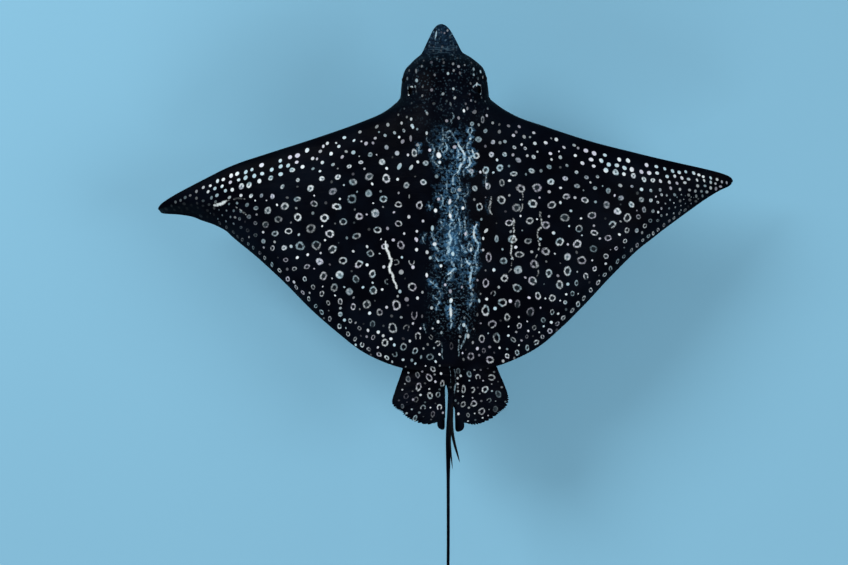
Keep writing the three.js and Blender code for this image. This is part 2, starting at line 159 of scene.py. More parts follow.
def crossing(side, outs, start, end):  # where a margin passes each distance out
    near = np.full(len(outs), float(start))
    far = np.full(len(outs), float(end))
    rising = margins[side](far) > margins[side](near)
    for _ in range(34):  # halves the span each time
        middle = (near + far) / 2
        beyond = (margins[side](middle) > outs) == rising
        far = np.where(beyond, middle, far)
        near = np.where(beyond, near, middle)
    return (near + far) / 2


def wingEdges(side):  # where the front and hind margins lie, by distance out
    outs = np.arange(wing["root"], wing["tip"], 4.0)
    front = crossing(side, outs, wing["start"] - 6, tipBack[side])
    hind = crossing(side, outs, tipBack[side], wing["end"])
    tip = [[wing["tip"], tipBack[side]]]
    return [through(list(zip(outs, edge)) + tip) for edge in (front, hind)]


edges = {side: wingEdges(side) for side in signs}


# Heights above and below the midplane.

crown = through([
    [tipStart, 0], [1, 5], [25, 10], [60, 15], [76, 22], [92, 46], [115, 61], [150, 70], [200, 79],
    [300, 94], [400, 97], [550, 85], [700, 62], [850, 36], [908, 25], [945, 12], [975, 8.5],
])
belly = through([
    [tipStart, 0], [1, 5], [25, 10], [60, 14], [76, 19], [110, 42], [150, 54], [250, 64], [400, 68],
    [600, 57], [800, 36], [908, 21], [945, 11], [975, 8],
])
midline = through([
    [0, -30], [40, -24], [80, -16], [125, -2], [190, 0], [800, 0], [950, 10], [1150, 16],
    [1700, -4], [2400, 10], [3200, 66],
])
sway = through([
    [tipStart, 3.2], [35, 2.2], [70, 2.4], [84, -0.4], [112, -2.2], [180, -2.2], [206, 0], [890, 0],
    [945, -4], [990, -0.8], [1082, 6.4], [1144, 8], [1407, 13.6], [1900, 48], [2400, 70], [2850, 40],
    [3200, -34],
])
arch = through([[0, 0], [120, 6], [250, 12], [400, 0], [550, -32], [650, -66], [761, -112]])
wingDepth = through([
    [0, 44], [120, 41], [200, 34], [300, 26], [400, 18.5], [500, 12.5], [650, 5.5], [761, 2.2],
])
domeWidth = through([
    [0, 200], [190, 150], [300, 132], [550, 122], [750, 92], [908, 46], [975, 40],
])
marginDepth = 1.2
marginReach = 4
undersideShare = 0.92
whipHeight = 1.15  # the whip is a little higher than wide
wingForm = {"hindCurl": 30, "frontCurl": 9, "lean": 22, "fold": 24}


def section(t):  # a wing section's thickness from its front margin to its hind one
    return 2.969 * np.sqrt(t) - 1.26 * t - 3.516 * t ** 2 + 2.843 * t ** 3 - 1.015 * t ** 4


def chordShare(side, out, back):  # 0 at the front margin, 1 at the hind one
    front, hind = [edge(out) for edge in edges[side]]
    inner = np.maximum(wing["root"] - out, 0) * 0.8
    return np.clip((back - front + inner) / np.maximum(hind - front + 2 * inner, 1), 0, 1)


def wingRise(side, out, back):  # the arch of a wing, with its curled margins
    front, hind = [edge(out) for edge in edges[side]]
    outside = ease(110, 260, out)
    toHind = np.clip(1 - (hind - back) / 80, 0, 1)
    toFront = np.clip(1 - (back - front) / 60, 0, 1)
    share = chordShare(side, out, back)
    rise = arch(out) - outside * ease(wing["tip"], 600, out) * wingForm["hindCurl"] * toHind ** 2
    rise = rise - outside * wingForm["frontCurl"] * toFront ** 2
    rise = rise - wingForm["lean"] * ease(300, wing["tip"], out) * share
    if side == "left":  # this tip's hind half folds down
        rise = rise - wingForm["fold"] * ease(560, 690, out) * ease(0.4, 1, share)
    return rise


def wingShare(back):  # 1 where the wings join the body, and 0 before and behind them
    return ease(172, 215, back) * (1 - ease(880, 912, back))


def middleOf(side, out, back):
    return midline(back) + wingShare(back) * wingRise(side, out, back)


# Soft forms on the back: brows, the hollow between the eyes, the spine with a groove beside it,
# and slow swells over the muscle.
reliefForm = {"brow": 4.0, "hollow": 2.4, "spine": 2.0, "groove": 1.5, "swell": 1.1, "shoulder": 2.2}


def relief(out, back, edge):
    inside = ease(4, 34, edge)
    spine = ease(330, 450, back) * (1 - ease(830, 900, back))
    swell = np.sin(out / 37 + back / 91) * np.sin(back / 53 - out / 140)
    form = reliefForm
    height = form["brow"] * hump(out, 84, 17) * hump(back, 146, 27)
    height = height - form["hollow"] * hump(out, 0, 28) * hump(back, 138, 44)
    height = height + spine * (form["spine"] * hump(out, 0, 9) - form["groove"] * hump(out, 25, 12))
    height = height + form["swell"] * swell * inside * ease(200, 300, back) * (1 - ease(820, 900, back))
    shoulder = form["shoulder"] * hump(out, 128, 26) * hump(back, 300, 90)
    return height * np.minimum(inside + 0.2, 1) - shoulder * inside


def heights(side, out, back):  # the upper and the lower skin
    width = margins[side](back)
    slope = (margins[side](back + 1) - margins[side](np.maximum(back - 1, 0))) / 2
    inHead = 1 - ease(160, 260, back)
    inTail = ease(890, 930, back)
    edge = np.maximum(width - out, 0) / np.hypot(1, slope)
    reach = np.maximum(width * (inHead * 0.85 + inTail), 60 * (1 - inHead) * (1 - inTail))
    rounding = 1 - (1 - np.minimum(edge / np.maximum(reach, 0.01), 1)) ** 2
    bell = 1 / (1 + (out / (domeWidth(back) * (1 + inTail))) ** 2.6)
    dome = np.sqrt(np.maximum(rounding, 0)) * bell
    inWing = wingShare(back)
    thin = inWing * wingDepth(out) * np.maximum(section(chordShare(side, out, back)), 0)
    rim = inWing * marginDepth * np.sqrt(np.minimum(edge / marginReach, 1))
    inWhip = ease(985, 1080, back)
    up = crown(back) * (1 - inWhip) + whipHeight * width * inWhip
    down = belly(back) * (1 - inWhip) + whipHeight * width * inWhip / undersideShare
    middle = middleOf(side, out, back)
    upper = np.cbrt((thin + rim) ** 3 + (dome * up) ** 3)
    lower = np.cbrt((thin + rim) ** 3 + (dome * down) ** 3) * undersideShare
    closed = edge < 1e-6
    upper = np.where(closed, 0, upper + relief(out, back, edge) * (back < 930))
    return middle + upper, middle - np.where(closed, 0, lower)


# The skin's mesh: patches of rows and columns that meet along the margins.

grid = {"across": 24, "chord": 98, "span": 106}
edgeSteps = np.array([0, 0.5, 1.5, 3.2, 6.0])  # rows close to a margin
rowGap = 3.1
tailRows = {"narrow": 990, "thin": 1490, "last": 3199, "tip": 3199.8}


class Patches:
    def __init__(self):
        self.points = []
        self.faces = []

    def rows(self, points):  # a grid of points, row by row; halves its columns where a row is shorter
        starts = []
        for row in points:
            starts.append(len(self.points))
            self.points.extend(row)
        for i in range(len(points) - 1):
            a, b = starts[i], starts[i + 1]
            if len(points[i]) == len(points[i + 1]):
                self.faces += [(a + j, a + j + 1, b + j + 1, b + j) for j in range(len(points[i]) - 1)]
                continue
            for j in range(len(points[i + 1]) - 1):
                k = a + 2 * j
                self.faces += [(k, k + 1, b + j), (k + 1, b + j + 1, b + j), (k + 1, k + 2, b + j + 1)]

    def mesh(self, name):
        data = bpy.data.meshes.new(name)
        data.from_pydata([tuple(p) for p in self.points], [], self.faces)
        build = bmesh.new()
        build.from_mesh(data)
        bmesh.ops.remove_doubles(build, verts=build.verts, dist=0.01 * mm)
        bmesh.ops.dissolve_degenerate(build, edges=build.edges, dist=0.001 * mm)
        bmesh.ops.recalc_face_normals(build, faces=build.faces)
        build.to_mesh(data)
        build.free()
        return data


def chordRows(chord):  # rows across a wing, closer near its margins
    near = np.outer(np.minimum(1, chord / 60), edgeSteps)
    share = np.linspace(0, 1, grid["chord"])[1:-1]
    inner = near[:, -1:] + (chord[:, None] - 2 * near[:, -1:]) * share
    return np.hstack([near, inner, chord[:, None] - near[:, ::-1]])


def centreRows(rootRows):  # from the snout to the tail root, matching the wings between
    near = [tipStart + step for step in (0, 0.3, 1, 2.2, 4, 6.5)]
    rows = near + list(np.arange(near[-1] + rowGap, rootRows[0] - 1.5, rowGap)) + list(rootRows)
    back = rows[-1]
    while back < 975:
        narrowing = abs(float(margins["left"](np.float64(back + 0.5)) - margins["left"](np.float64(back))))
        back += min(6.0, max(0.5, 2.4 / max(narrowing, 0.01)))
        rows.append(back)
    return rows


def addCentre(patches, rootRows):  # head, trunk and tail
    tops = []
    lows = []
    rows = centreRows(rootRows) + list(np.arange(tailRows["narrow"], tailRows["thin"] + 1, 10))
    rows += list(np.arange(tailRows["thin"] + 10, tailRows["last"] - 10, 20)) + [tailRows["last"]]
    for back in rows:
        step = 1 if back < tailRows["narrow"] else 2 if back < tailRows["thin"] else 4
        j = np.arange(-grid["across"], grid["across"] + 1, step) / grid["across"]
        rounded = 1 - ease(150, 190, back) + ease(893, 925, back)
        share = (1 - rounded) * j + rounded * np.sin(j * math.pi / 2)
        inTrunk = rootRows[0] - 1e-6 <= back <= rootRows[-1] + 1e-6
        width = wing["root"] if inTrunk else float(margins["left"](np.float64(back)))
        out = np.abs(share) * width
        left = heights("left", out, np.full(len(out), back))
        right = heights("right", out, np.full(len(out), back))
        upper = np.where(share >= 0, left[0], right[0])
        lower = np.where(share >= 0, left[1], right[1])
        x = share * width + sway(back)
        tops.append(place(x, back, upper))
        lows.append(place(x, back, lower))
    end = tailRows["tip"]
    tip = [place(np.full(len(j), float(sway(end))), end, float(midline(end)))]
    patches.rows(tops + tip)
    patches.rows(lows + tip)


def addWing(patches, side):
    outs = np.concatenate([
        np.linspace(wing["root"], 736, grid["span"]), [741, 746, 750, 754, 757, 759, 760.3, wing["tip"]],
    ])
    front, hind = [edge(outs) for edge in edges[side]]
    backs = front[:, None] + chordRows(hind - front)
    out = np.repeat(outs[:, None], backs.shape[1], 1)
    upper, lower = heights(side, out, backs)
    middle = middleOf(side, out, backs)
    for z in (upper, lower):
        z[:, 0] = middle[:, 0]
        z[:, -1] = middle[:, -1]
        x = signs[side] * out + sway(backs)
        patches.rows(list(place(x, backs, z)))


def bodyMesh():
    patches = Patches()
    root = np.array([wing["root"]])
    front, hind = [edge(root) for edge in edges["left"]]
    addCentre(patches, (front[:, None] + chordRows(hind - front))[0])
    for side in signs:
        addWing(patches, side)
    return patches.mesh("rayBody")


# Fins at the tail root, as closed lofts.

def spline(points, share):  # through each point, with the same slope on both sides
    points = np.array(points, float)
    at = np.clip(share, 0, 1) * (len(points) - 1)
    i = np.minimum(np.floor(at).astype(int), len(points) - 2)
    t = (at - i)[:, None]
    p0 = points[np.maximum(i - 1, 0)]
    p1 = points[i]
    p2 = points[i + 1]
    p3 = points[np.minimum(i + 2, len(points) - 1)]
    v0 = (p2 - p0) / 2
    v1 = (p3 - p1) / 2
    cubic = (2 * p1 - 2 * p2 + v0 + v1) * t ** 3 + (-3 * p1 + 3 * p2 - 2 * v0 - v1) * t ** 2
    return cubic + v0 * t + p1


def loftMesh(name, rings):  # rings of points joined into a closed shape
    patches = Patches()
    closed = [np.vstack([ring, ring[:1]]) for ring in rings]
    for end in (0, -1):
        middle = np.repeat(rings[end].mean(0)[None], len(closed[0]), 0)
        closed = [middle] + closed if end == 0 else closed + [middle]
    patches.rows(closed)
    return patches.mesh(name)


pelvic = {
    "root": {
        "left": [[42, 860], [18, 912], [8, 932], [11.6, 943], [12.2, 960], [12.2, 990], [13.4, 1024]],
        "right": [[42, 860], [20, 912], [8, 937], [7, 960], [7, 990], [12, 1003], [13, 1024]],
    },
    "margin": {
        "left": [
            [112, 866], [128, 912], [142, 950], [151, 980], [144, 995], [134, 1002], [125, 1007],
            [118, 1017], [96, 1031], [62, 1041], [34, 1036],
        ],
        "right": [
            [113, 866], [131, 912], [146, 950], [153, 978], [146, 999], [128, 1014], [104, 1031],
            [66, 1044], [34, 1038],
        ],
    },
    "rootDepth": 8, "freeDepth": 3, "edgeDepth": 1.3, "droop": 26, "drop": 6,
    "along": 360, "across": 14, "scallop": 6.5, "scallops": 31,
}


def pelvicMesh(side):
    fin = pelvic
    along = np.linspace(0, 1, fin["along"] + 1)
    root = spline(fin["root"][side], along)
    edge = spline(fin["margin"][side], along)
    outward = (edge - root) / np.linalg.norm(edge - root, axis=1)[:, None]
    phase = along * math.pi * fin["scallops"] + 1.5 * np.sin(along * 23 + signs[side])
    uneven = 0.65 + 0.45 * np.sin(along * 61 + 1.3 * signs[side]) * np.sin(along * 17)
    reach = (np.abs(np.sin(phase)) - 0.8) * uneven * fin["scallop"] * ease(0.28, 0.40, along)
    edge = edge + outward * (reach * ease(1.0, 0.94, along))[:, None]
    ends = np.sin(math.pi * np.clip(0.06 + 0.88 * along, 0, 1)) ** 0.35
    thick = fin["freeDepth"] + (fin["rootDepth"] - fin["freeDepth"]) * ease(960, 920, root[:, 1])
    across = np.sin(math.pi / 2 * np.linspace(0, 1, fin["across"] + 1))
    rings = []
    for i in range(len(along)):
        at = root[i] + (edge[i] - root[i]) * across[:, None]
        depth = (thick[i] * (1 - across) ** 0.8 + fin["edgeDepth"] * np.sqrt(1 - across)) * ends[i]
        rays = 0.35 * np.cos(along[i] * math.pi * 30) * np.sin(math.pi * across)
        rise = midline(at[:, 1]) - fin["drop"] - fin["droop"] * across ** 2
        x = signs[side] * at[:, 0]
        upper = place(x, at[:, 1], rise + depth + rays)
        lower = place(x, at[:, 1], rise - depth + rays)
        rings.append(np.vstack([upper, lower[-2::-1]]))
    return loftMesh("pelvicFin", rings)


clasper = {
    "start": 975, "end": {"left": 1054, "right": 1060}, "side": {"left": 24.5, "right": 24},
    "width": {"left": 10, "right": 12}, "depth": 5.5, "drop": 15, "lean": 4, "groove": 1.1, "blunt": 14,
}


def clasperMesh(side):
    end = clasper["end"][side]
    rings = []
    turn = np.arange(28) / 28 * 2 * math.pi
    for share in np.linspace(0, 1, 22):
        back = clasper["start"] + (end - clasper["start"]) * math.sin(math.pi / 2 * share)
        left = min(max((end - back) / clasper["blunt"], 0.0004), 1)
        rounding = (1 - (1 - left) ** 2.6) ** (1 / 2.6)
        x = signs[side] * clasper["side"][side] + clasper["width"][side] * rounding * np.cos(turn)
        slanted = back - clasper["lean"] * share * signs[side] * rounding * np.cos(turn)
        groove = clasper["groove"] * rounding * np.exp(-((turn - 1.5 * math.pi) / 0.3) ** 2)
        z = midline(back) - clasper["drop"] + clasper["depth"] * rounding * np.sin(turn) + groove
        rings.append(place(x, slanted, z))
    return loftMesh("clasper", rings)


dorsal = {"start": 884, "end": 952, "height": 34, "width": 5.5, "sweep": 34, "lift": 4, "taper": 0.62}


def dorsalMesh():
    rings = []
    turn = np.arange(40) / 40 * 2 * math.pi
    for level in np.linspace(0, 1, 22):
        share = math.sin(math.pi / 2 * level)
        front = dorsal["start"] + dorsal["sweep"] * share ** 1.3
        hind = dorsal["end"] + 7 * share - 16 * share ** 4
        middle = (front + hind) / 2
        long = (hind - front) / 2 * math.sqrt(max(1 - share ** 8, 0.004))
        wide = dorsal["width"] * (1 - dorsal["taper"] * share) * math.sqrt(max(1 - share ** 8, 0.01))
        z = float(midline(dorsal["end"])) + dorsal["lift"] + share * dorsal["height"]
        rings.append(place(sway(middle) + wide * np.sin(turn), middle + long * np.cos(turn), z))
    return loftMesh("dorsalFin", rings)


# Openings in the skin: [x, back, z], half sizes and turn about the vertical.

openings = {
    "eyeSocket": [[(112, eyeSize["back"], eyeSize["up"] - 1), (13, 13, 9.5), 0]],
    "spiracle": [[(88, 177, 40), (6.5, 12, 9), 12]],
    "nostril": [[(24, 97, -47), (9, 4, 9), -24]],
    "mouth": [[(0, 124, -45), (44, 3.4, 8), 0]],
    "gills": [[(51 + 2.2 * i, 214 + 19 * i, -62 + 0.5 * i), (11, 1.7, 9), 10 - 5 * i] for i in range(5)],
    "vent": [[(0, 918, -13), (3.2, 13, 6), 0]],
}


def ellipsoids():  # every opening, on both sides where it has a twin
    found = []
    for cuts in openings.values():
        for (x, back, z), size, turn in cuts:
            for sign in (1, -1) if x else (1,):
                found.append((sign * x + sway(back), back, z, size, sign * math.radians(turn)))
    return found


def cutterMesh():
    build = bmesh.new()
    for x, back, z, size, turn in ellipsoids():
        matrix = Matrix.Translation(Vector(place(x, back, z)))
        matrix = matrix @ Matrix.Rotation(turn, 4, "Z") @ Matrix.Diagonal((*[s * mm for s in size], 1))
        bmesh.ops.create_icosphere(build, subdivisions=4, radius=1, matrix=matrix)
    return meshOf(build, "openings")


partNames = ["body", "pelvicLeft", "pelvicRight", "clasperLeft", "clasperRight", "dorsalFin", "opening"]


def isPart(part, *names):
    return np.isin(part, [partNames.index(name) for name in names])


def marked(data, part):
    least = 0.35 if part == "dorsalFin" else -0.3  # how far up a face has to point to be an upper one
    values = {
        "part": [partNames.index(part)] * len(data.polygons),
        "upper": [int(face.normal.z > least) for face in data.polygons],
    }
    for name, value in values.items():
        layer = data.attributes.new(name, "INT", "FACE")
        layer.data.foreach_set("value", value)
    return linked(part, data)


def combine(piece, other, operation):  # joins or cuts, and removes the other piece
    modifier = piece.modifiers.new(operation, "BOOLEAN")
    modifier.operation = operation
    modifier.solver = "MANIFOLD"
    modifier.object = other
    bpy.context.view_layer.update()
    shape = bpy.data.meshes.new_from_object(piece.evaluated_get(bpy.context.evaluated_depsgraph_get()))
    piece.modifiers.clear()
    piece.data = shape
    bpy.data.objects.remove(other)


def softenSeams(data, rounds, reach, limit):  # smooths where two parts meet, within a limit
    build = bmesh.new()
    build.from_mesh(data)
    bmesh.ops.remove_doubles(build, verts=build.verts, dist=0.05 * mm)
    part = build.faces.layers.int["part"]
    openingPart = partNames.index("opening")
    seam = set()
    for edge in build.edges:
        kinds = {face[part] for face in edge.link_faces}
        if len(kinds) > 1 and openingPart not in kinds:
            seam.update(edge.verts)
    for _ in range(reach):
        seam.update([edge.other_vert(vert) for vert in list(seam) for edge in vert.link_edges])
    starts = {vert: vert.co.copy() for vert in seam}
    for _ in range(rounds):
        bmesh.ops.smooth_vert(
            build, verts=list(seam), factor=0.5, use_axis_x=True, use_axis_y=True, use_axis_z=True)
    for vert, start in starts.items():
        moved = vert.co - start
        vert.co = start + moved * min(1, limit / max(moved.length, 1e-9))
    build.to_mesh(data)
    build.free()


def fleshPiece():
    flesh = marked(bodyMesh(), "body")
    for side in signs:
        combine(flesh, marked(pelvicMesh(side), "pelvic" + side.title()), "UNION")
        combine(flesh, marked(clasperMesh(side), "clasper" + side.title()), "UNION")
    combine(flesh, marked(dorsalMesh(), "dorsalFin"), "UNION")
    combine(flesh, marked(cutterMesh(), "opening"), "DIFFERENCE")
    softenSeams(flesh.data, rounds=6, reach=2, limit=0.4 * mm)
    flesh.name = "raySkin"
    return flesh


# The flattened skin: distance across the back, measured over it, for every face corner.

flatStep = 4.0
acrossOuts = np.arange(0, 772, flatStep)
acrossBacks = np.arange(0, 1084, flatStep)


def smoothed(table, rounds):  # each value drawn towards its four neighbours
    for _ in range(rounds):
        wide = np.pad(table, 1, mode="edge")
        around = wide[:-2, 1:-1] + wide[2:, 1:-1] + wide[1:-1, :-2] + wide[1:-1, 2:]
        table = (around + 4 * table) / 8
    return table


def acrossTable(side):  # distance over the back from the middle, on a regular grid
    out, back = np.meshgrid(acrossOuts, acrossBacks)
    held = np.minimum(out, margins[side](back))
    rise = smoothed(heights(side, held, back)[0], 14) * ease(915, 880, back)
    return np.concatenate([np.zeros((len(back), 1)), np.hypot(flatStep, np.diff(rise, axis=1)).cumsum(1)], 1)


acrossTables = {side: acrossTable(side) for side in signs}


def across(x, back):  # signed, positive on the left
    result = np.zeros(np.broadcast(x, back).shape)
    i = np.clip(back / flatStep, 0, len(acrossBacks) - 1.001)
    j = np.clip(np.abs(x) / flatStep, 0, len(acrossOuts) - 1.001)
    i0, j0 = i.astype(int), j.astype(int)
    fi, fj = i - i0, j - j0
    for side, table in acrossTables.items():
        low = table[i0, j0] * (1 - fj) + table[i0, j0 + 1] * fj
        high = table[i0 + 1, j0] * (1 - fj) + table[i0 + 1, j0 + 1] * fj
        result = np.where(np.sign(x) == signs[side], signs[side] * (low * (1 - fi) + high * fi), result)
    return result


# Distances from the wings' front and hind margins.

def marginLine(side, start, end, step):
    back = np.arange(start, end, step)
    return np.stack([signs[side] * margins[side](back), back], 1)


def evened(line, step):  # the same line with its points a step apart
    run = np.concatenate([[0], np.hypot(*np.diff(line, axis=0).T).cumsum()])
    at = np.arange(0, run[-1], step)
    return np.stack([np.interp(at, run, line[:, k]) for k in (0, 1)], 1)


marginLines = {
    "front": [evened(marginLine(side, wing["start"] - 10, tipBack[side] + 0.5, 0.5), 5.0) for side in signs],
    "hind": [evened(marginLine(side, tipBack[side], wing["end"], 0.5), 5.0) for side in signs],
}


def inChunks(count, size):
    return [slice(start, start + size) for start in range(0, count, size)]


def fromMargin(kind, x, back):  # distance to the nearer wing margin of a kind
    nearest = np.full(len(x), 1e6)
    for line in marginLines[kind]:
        for part in inChunks(len(x), 20000):
            dx = x[part, None] - line[:, 0]
            dy = back[part, None] - line[:, 1]
            nearest[part] = np.minimum(nearest[part], np.sqrt((dx * dx + dy * dy).min(1)))
    return nearest


# The spots, each an ellipse on the flattened skin.

spotting = {
    "seed": 41,
    "clear": 27, "rowGap": 19, "pitch": 23, "tipPitch": 17, "frontRows": 3, "tipRows": 7, "shoulder": 350,
    "ring": 12.0, "ringPitch": 37, "ringEven": 45, "hindInset": 15, "hindPitch": 27,
    "dotPitch": 23, "solid": -1.5, "whole": 3, "finStart": 905,
}
areas = {  # how far out, and from where to where along the back
    "ring": {"out": 665, "start": 262, "end": 896},
    "dot": {"out": 650, "start": 240, "end": 903},
    "fin": {"out": 150, "start": 898, "end": 1034},
}
chance = np.random.default_rng(spotting["seed"])


def columns(fields, rows):
    made = np.array(rows, float)
    return {name: made[:, k] for k, name in enumerate(fields)}


class Spots:  # place, half sizes, turn, and what a spot looks like
    fields = ("x", "back", "long", "short", "turn", "hole", "gap", "fill", "bright")

    def __init__(self):
        self.rows = []

    def add(self, x, back, long, short, turn=0,
            hole=spotting["solid"], gap=spotting["whole"], fill=0, bright=1):
        self.rows.append((x, back, long, short, turn, hole, gap, fill, bright))

    def far(self, x, back, reach):  # is this place clear of every spot by the reach
        if not self.rows:
            return True
        made = np.array(self.rows)
        return bool((np.hypot(made[:, 0] - x, made[:, 1] - back) - made[:, 2] > reach).all())


def jitter(amount):
    return chance.uniform(-amount, amount)


def one(value):
    return float(np.asarray(value).ravel()[0])


def eased(low, high, value):
    return one(ease(low, high, value))


def tipShade(x, back):  # duller spots on the left tip, painted shade under its fold; spots also dim towards both tips
    share = one(chordShare("left", np.array([abs(x)]), np.array([float(back)])))
    folded = 0.65 * eased(430, 560, x) * eased(0.30, 0.62, share)
    right = (1 - 0.2 * eased(540, 620, -x)) * (1 - 0.35 * eased(690, 740, -x))
    return (1 - folded) * (1 - 0.72 * eased(585, 680, x)) * right


def gapTo(kind, x, back):
    return one(fromMargin(kind, np.array([float(x)]), np.array([float(back)])))


def walk(side, start, end):  # a margin's points 1 mm apart, with the way ahead and the way in
    line = evened(marginLine(side, start, end, 0.5), 1.0)
    ahead = np.gradient(line, axis=0)
    ahead /= np.hypot(*ahead.T)[:, None]
    inward = np.stack([-ahead[:, 1], ahead[:, 0]], 1) * signs[side]
    if start >= tipBack[side]:
        inward = inward * np.sign((-line * inward)[:, :1])
    return line, ahead, inward


def frontRows(spots):  # rows of spots that follow the front margin
    for side in signs:
        line, ahead, inward = walk(side, wing["start"] - 10, tipBack[side] + 0.5)
        for row in range(spotting["tipRows"]):
            run = chance.uniform(0, spotting["pitch"])
            while run < len(line) - 10:
                i = int(run)
                out = abs(line[i, 0])
                toTip = eased(480, 720, out)
                inset = spotting["clear"] - 8 * toTip + row * (spotting["rowGap"] - 6.0 * toTip)
                x, back = line[i] + inward[i] * (inset + jitter(3.6 - 1.4 * toTip))
                pitch = spotting["pitch"] + (spotting["tipPitch"] - spotting["pitch"]) * toTip
                pitch += 1.5 * row * (1 - toTip)
                run += pitch * chance.uniform(0.78, 1.25)
                if row >= spotting["frontRows"] and out < 590 + 20 * (row - spotting["frontRows"]):
                    continue
                if abs(x) < spotting["shoulder"] or gapTo("hind", x, back) < 8 or chance.random() < 0.06:
                    continue
                long = (6.2 - 1.4 * toTip) * chance.uniform(0.84, 1.14)
                bright = tipShade(x, back) * (1 - 0.16 * row * (0.4 + 0.6 * toTip))
                turn = signs[side] * (0.65 + jitter(0.45))
                if row == 2 and toTip < 0.5 and chance.random() < 0.4:
                    spots.add(x, back, long * 1.3, long * 1.05, turn, 0.3, fill=0.9, bright=0.75)
                    continue
                short = long * (chance.uniform(0.72, 0.92) - 0.16 * toTip)
                spots.add(x, back, long, short, turn, bright=bright * chance.uniform(0.82, 1))


def hindRow(spots):  # one row of rings inside the hind margin
    for side in signs:
        line, ahead, inward = walk(side, tipBack[side], wing["end"])
        run = chance.uniform(0, 20)
        while run < len(line) - 24:
            i = int(run)
            out = abs(line[i, 0])
            size = 0.66 + 0.34 * eased(600, 420, out)
            x, back = line[i] + inward[i] * (spotting["hindInset"] * size + jitter(1.8))
            run += spotting["hindPitch"] * size * chance.uniform(0.75, 1.2)
            if not spots.far(x, back, 6) or out < 150 or out > 690:
                continue
            long = 8.0 * size * chance.uniform(0.82, 1.1)
            turn = math.atan2(ahead[i, 1], ahead[i, 0]) + math.pi / 2 * (chance.random() < 0.5) + jitter(0.5)
            gap = 0.65 if chance.random() < 0.3 else spotting["whole"]
            bright = (0.40 + 0.35 * size) * tipShade(x, back) * chance.uniform(0.6, 1)
            spots.add(x, back, long, long * chance.uniform(0.66, 0.85), turn, 0.48, gap, 0.1, bright)


def ringLook(x, back):  # solid near the front margin, then grey with a small hole, then open rings
    out = abs(x)
    toTip = eased(500, 640, out)
    nearHind = eased(78, 30, gapTo("hind", x, back))
    front = gapTo("front", x, back) - 10 * eased(200, 320, out)
    opened = eased(88, 160, front)
    long = 5.0 + 2.6 * eased(62, 104, front) + (spotting["ring"] - 7.6) * opened
    long *= chance.uniform(0.86, 1.1)
    long *= (1 - 0.42 * nearHind) * (1 - 0.14 * eased(700, 830, back)) * (1 - 0.46 * toTip)
    upright = eased(560, 690, back) + eased(210, 130, out) > 0.75
    lean = math.copysign(0.6, x) * max(1 - opened, toTip)
    turn = lean + math.pi / 2 * upright + jitter(0.4 if chance.random() < 0.8 else 1.2)
    bright = tipShade(x, back) * chance.uniform(0.36, 0.76) * (1 - 0.2 * eased(700, 830, back))
    short = long * chance.uniform(0.68, 0.92)
    if front < 72 + jitter(10):
        bright *= 0.65 + 0.6 * eased(120, 260, out)
        return long, short, turn, spotting["solid"], spotting["whole"], 0, bright
    kind = chance.random()
    gap = spotting["whole"] if kind > 0.12 else chance.uniform(0.5, 0.85)
    hole = 0.24 + 0.29 * opened + jitter(0.05)
    fill = chance.uniform(0, 0.15) + 0.8 * (1 - opened)
    if kind > 0.94:  # a few are grey all over
        fill = 1.0
        hole = 0.3
        long *= 0.85
    return long, short, turn, hole, gap, fill, bright


def scattered(spots, tries, area, pitchOf, lookOf, inside):  # drops spots at random, none too close
    for _ in range(tries):
        x = chance.uniform(-area["out"], area["out"])
        back = chance.uniform(area["start"], area["end"])
        if not inside("left" if x > 0 else "right", x, back):
            continue
        made = np.array(spots.rows) if spots.rows else np.zeros((0, 9))
        reach = pitchOf(x, back) - (12 - made[:, 2]) * 0.8
        if (np.hypot(made[:, 0] - x, made[:, 1] - back) < reach).any():
            continue
        spots.add(x, back, *lookOf(x, back))


def insideDisc(side, x, back):
    return abs(x) < one(margins[side](np.float64(back))) - 6


def spread(spots, fixed, inside):  # nudges the loose spots apart until they lie evenly
    for _ in range(10):
        made = np.array(spots.rows)
        for i in range(fixed, len(made)):
            gone = made[i, :2] - made[:, :2]
            far = np.hypot(*gone.T)
            even = spotting["ringEven"] * (0.36 + 0.64 * made[i, 2] / spotting["ring"])
            near = (far < even) & (far > 0)
            push = (gone[near] / far[near, None] * (even - far[near, None])).sum(0) * 0.28
            x, back = made[i, :2] + np.clip(push, -5, 5)
            if inside("left" if x > 0 else "right", x, back):
                made[i, :2] = x, back
                spots.rows[i] = (x, back, *spots.rows[i][2:])


def ringField(spots):  # loose rings between the rows
    area = areas["ring"]

    def inside(side, x, back):
        out = abs(x)
        within = area["start"] <= back <= area["end"] and out <= area["out"]
        if not insideDisc(side, x, back) or not within:
            return False
        clearMiddle = 70 + 62 * eased(330, 480, back) + 16 * eased(560, 600, back)
        start = 24 if out < spotting["shoulder"] + 8 else 80
        if gapTo("front", x, back) < start or out < clearMiddle:
            return False
        return gapTo("hind", x, back) > 24 - 12 * eased(520, 620, out)

    def pitchOf(x, back):
        front = gapTo("front", x, back)
        pitch = 26 + (spotting["ringPitch"] - 26) * eased(70, 125, front)
        pitch *= 1 - 0.42 * eased(440, 660, abs(x))
        return pitch * (1 - 0.36 * eased(90, 30, gapTo("hind", x, back)))

    fixed = len(spots.rows)
    scattered(spots, 12000, area, pitchOf, ringLook, inside)
    spread(spots, fixed, inside)


def finRing(x, back):
    long = 8.0 * chance.uniform(0.78, 1.12)
    gap = spotting["whole"] if chance.random() > 0.25 else chance.uniform(0.5, 0.85)
    outer = 1 - 0.6 * eased(105, 140, abs(x))
    bright = chance.uniform(0.25, 0.66) * outer
    turn = math.pi / 2 + jitter(0.5)
    return long, long * chance.uniform(0.6, 0.78), turn, 0.52, gap, chance.uniform(0, 0.3), bright


def finDot(x, back):
    size = 3.0 * chance.uniform(0.6, 1.3)
    return size, size * 0.85, 0, spotting["solid"], spotting["whole"], 0, chance.uniform(0.15, 0.75)


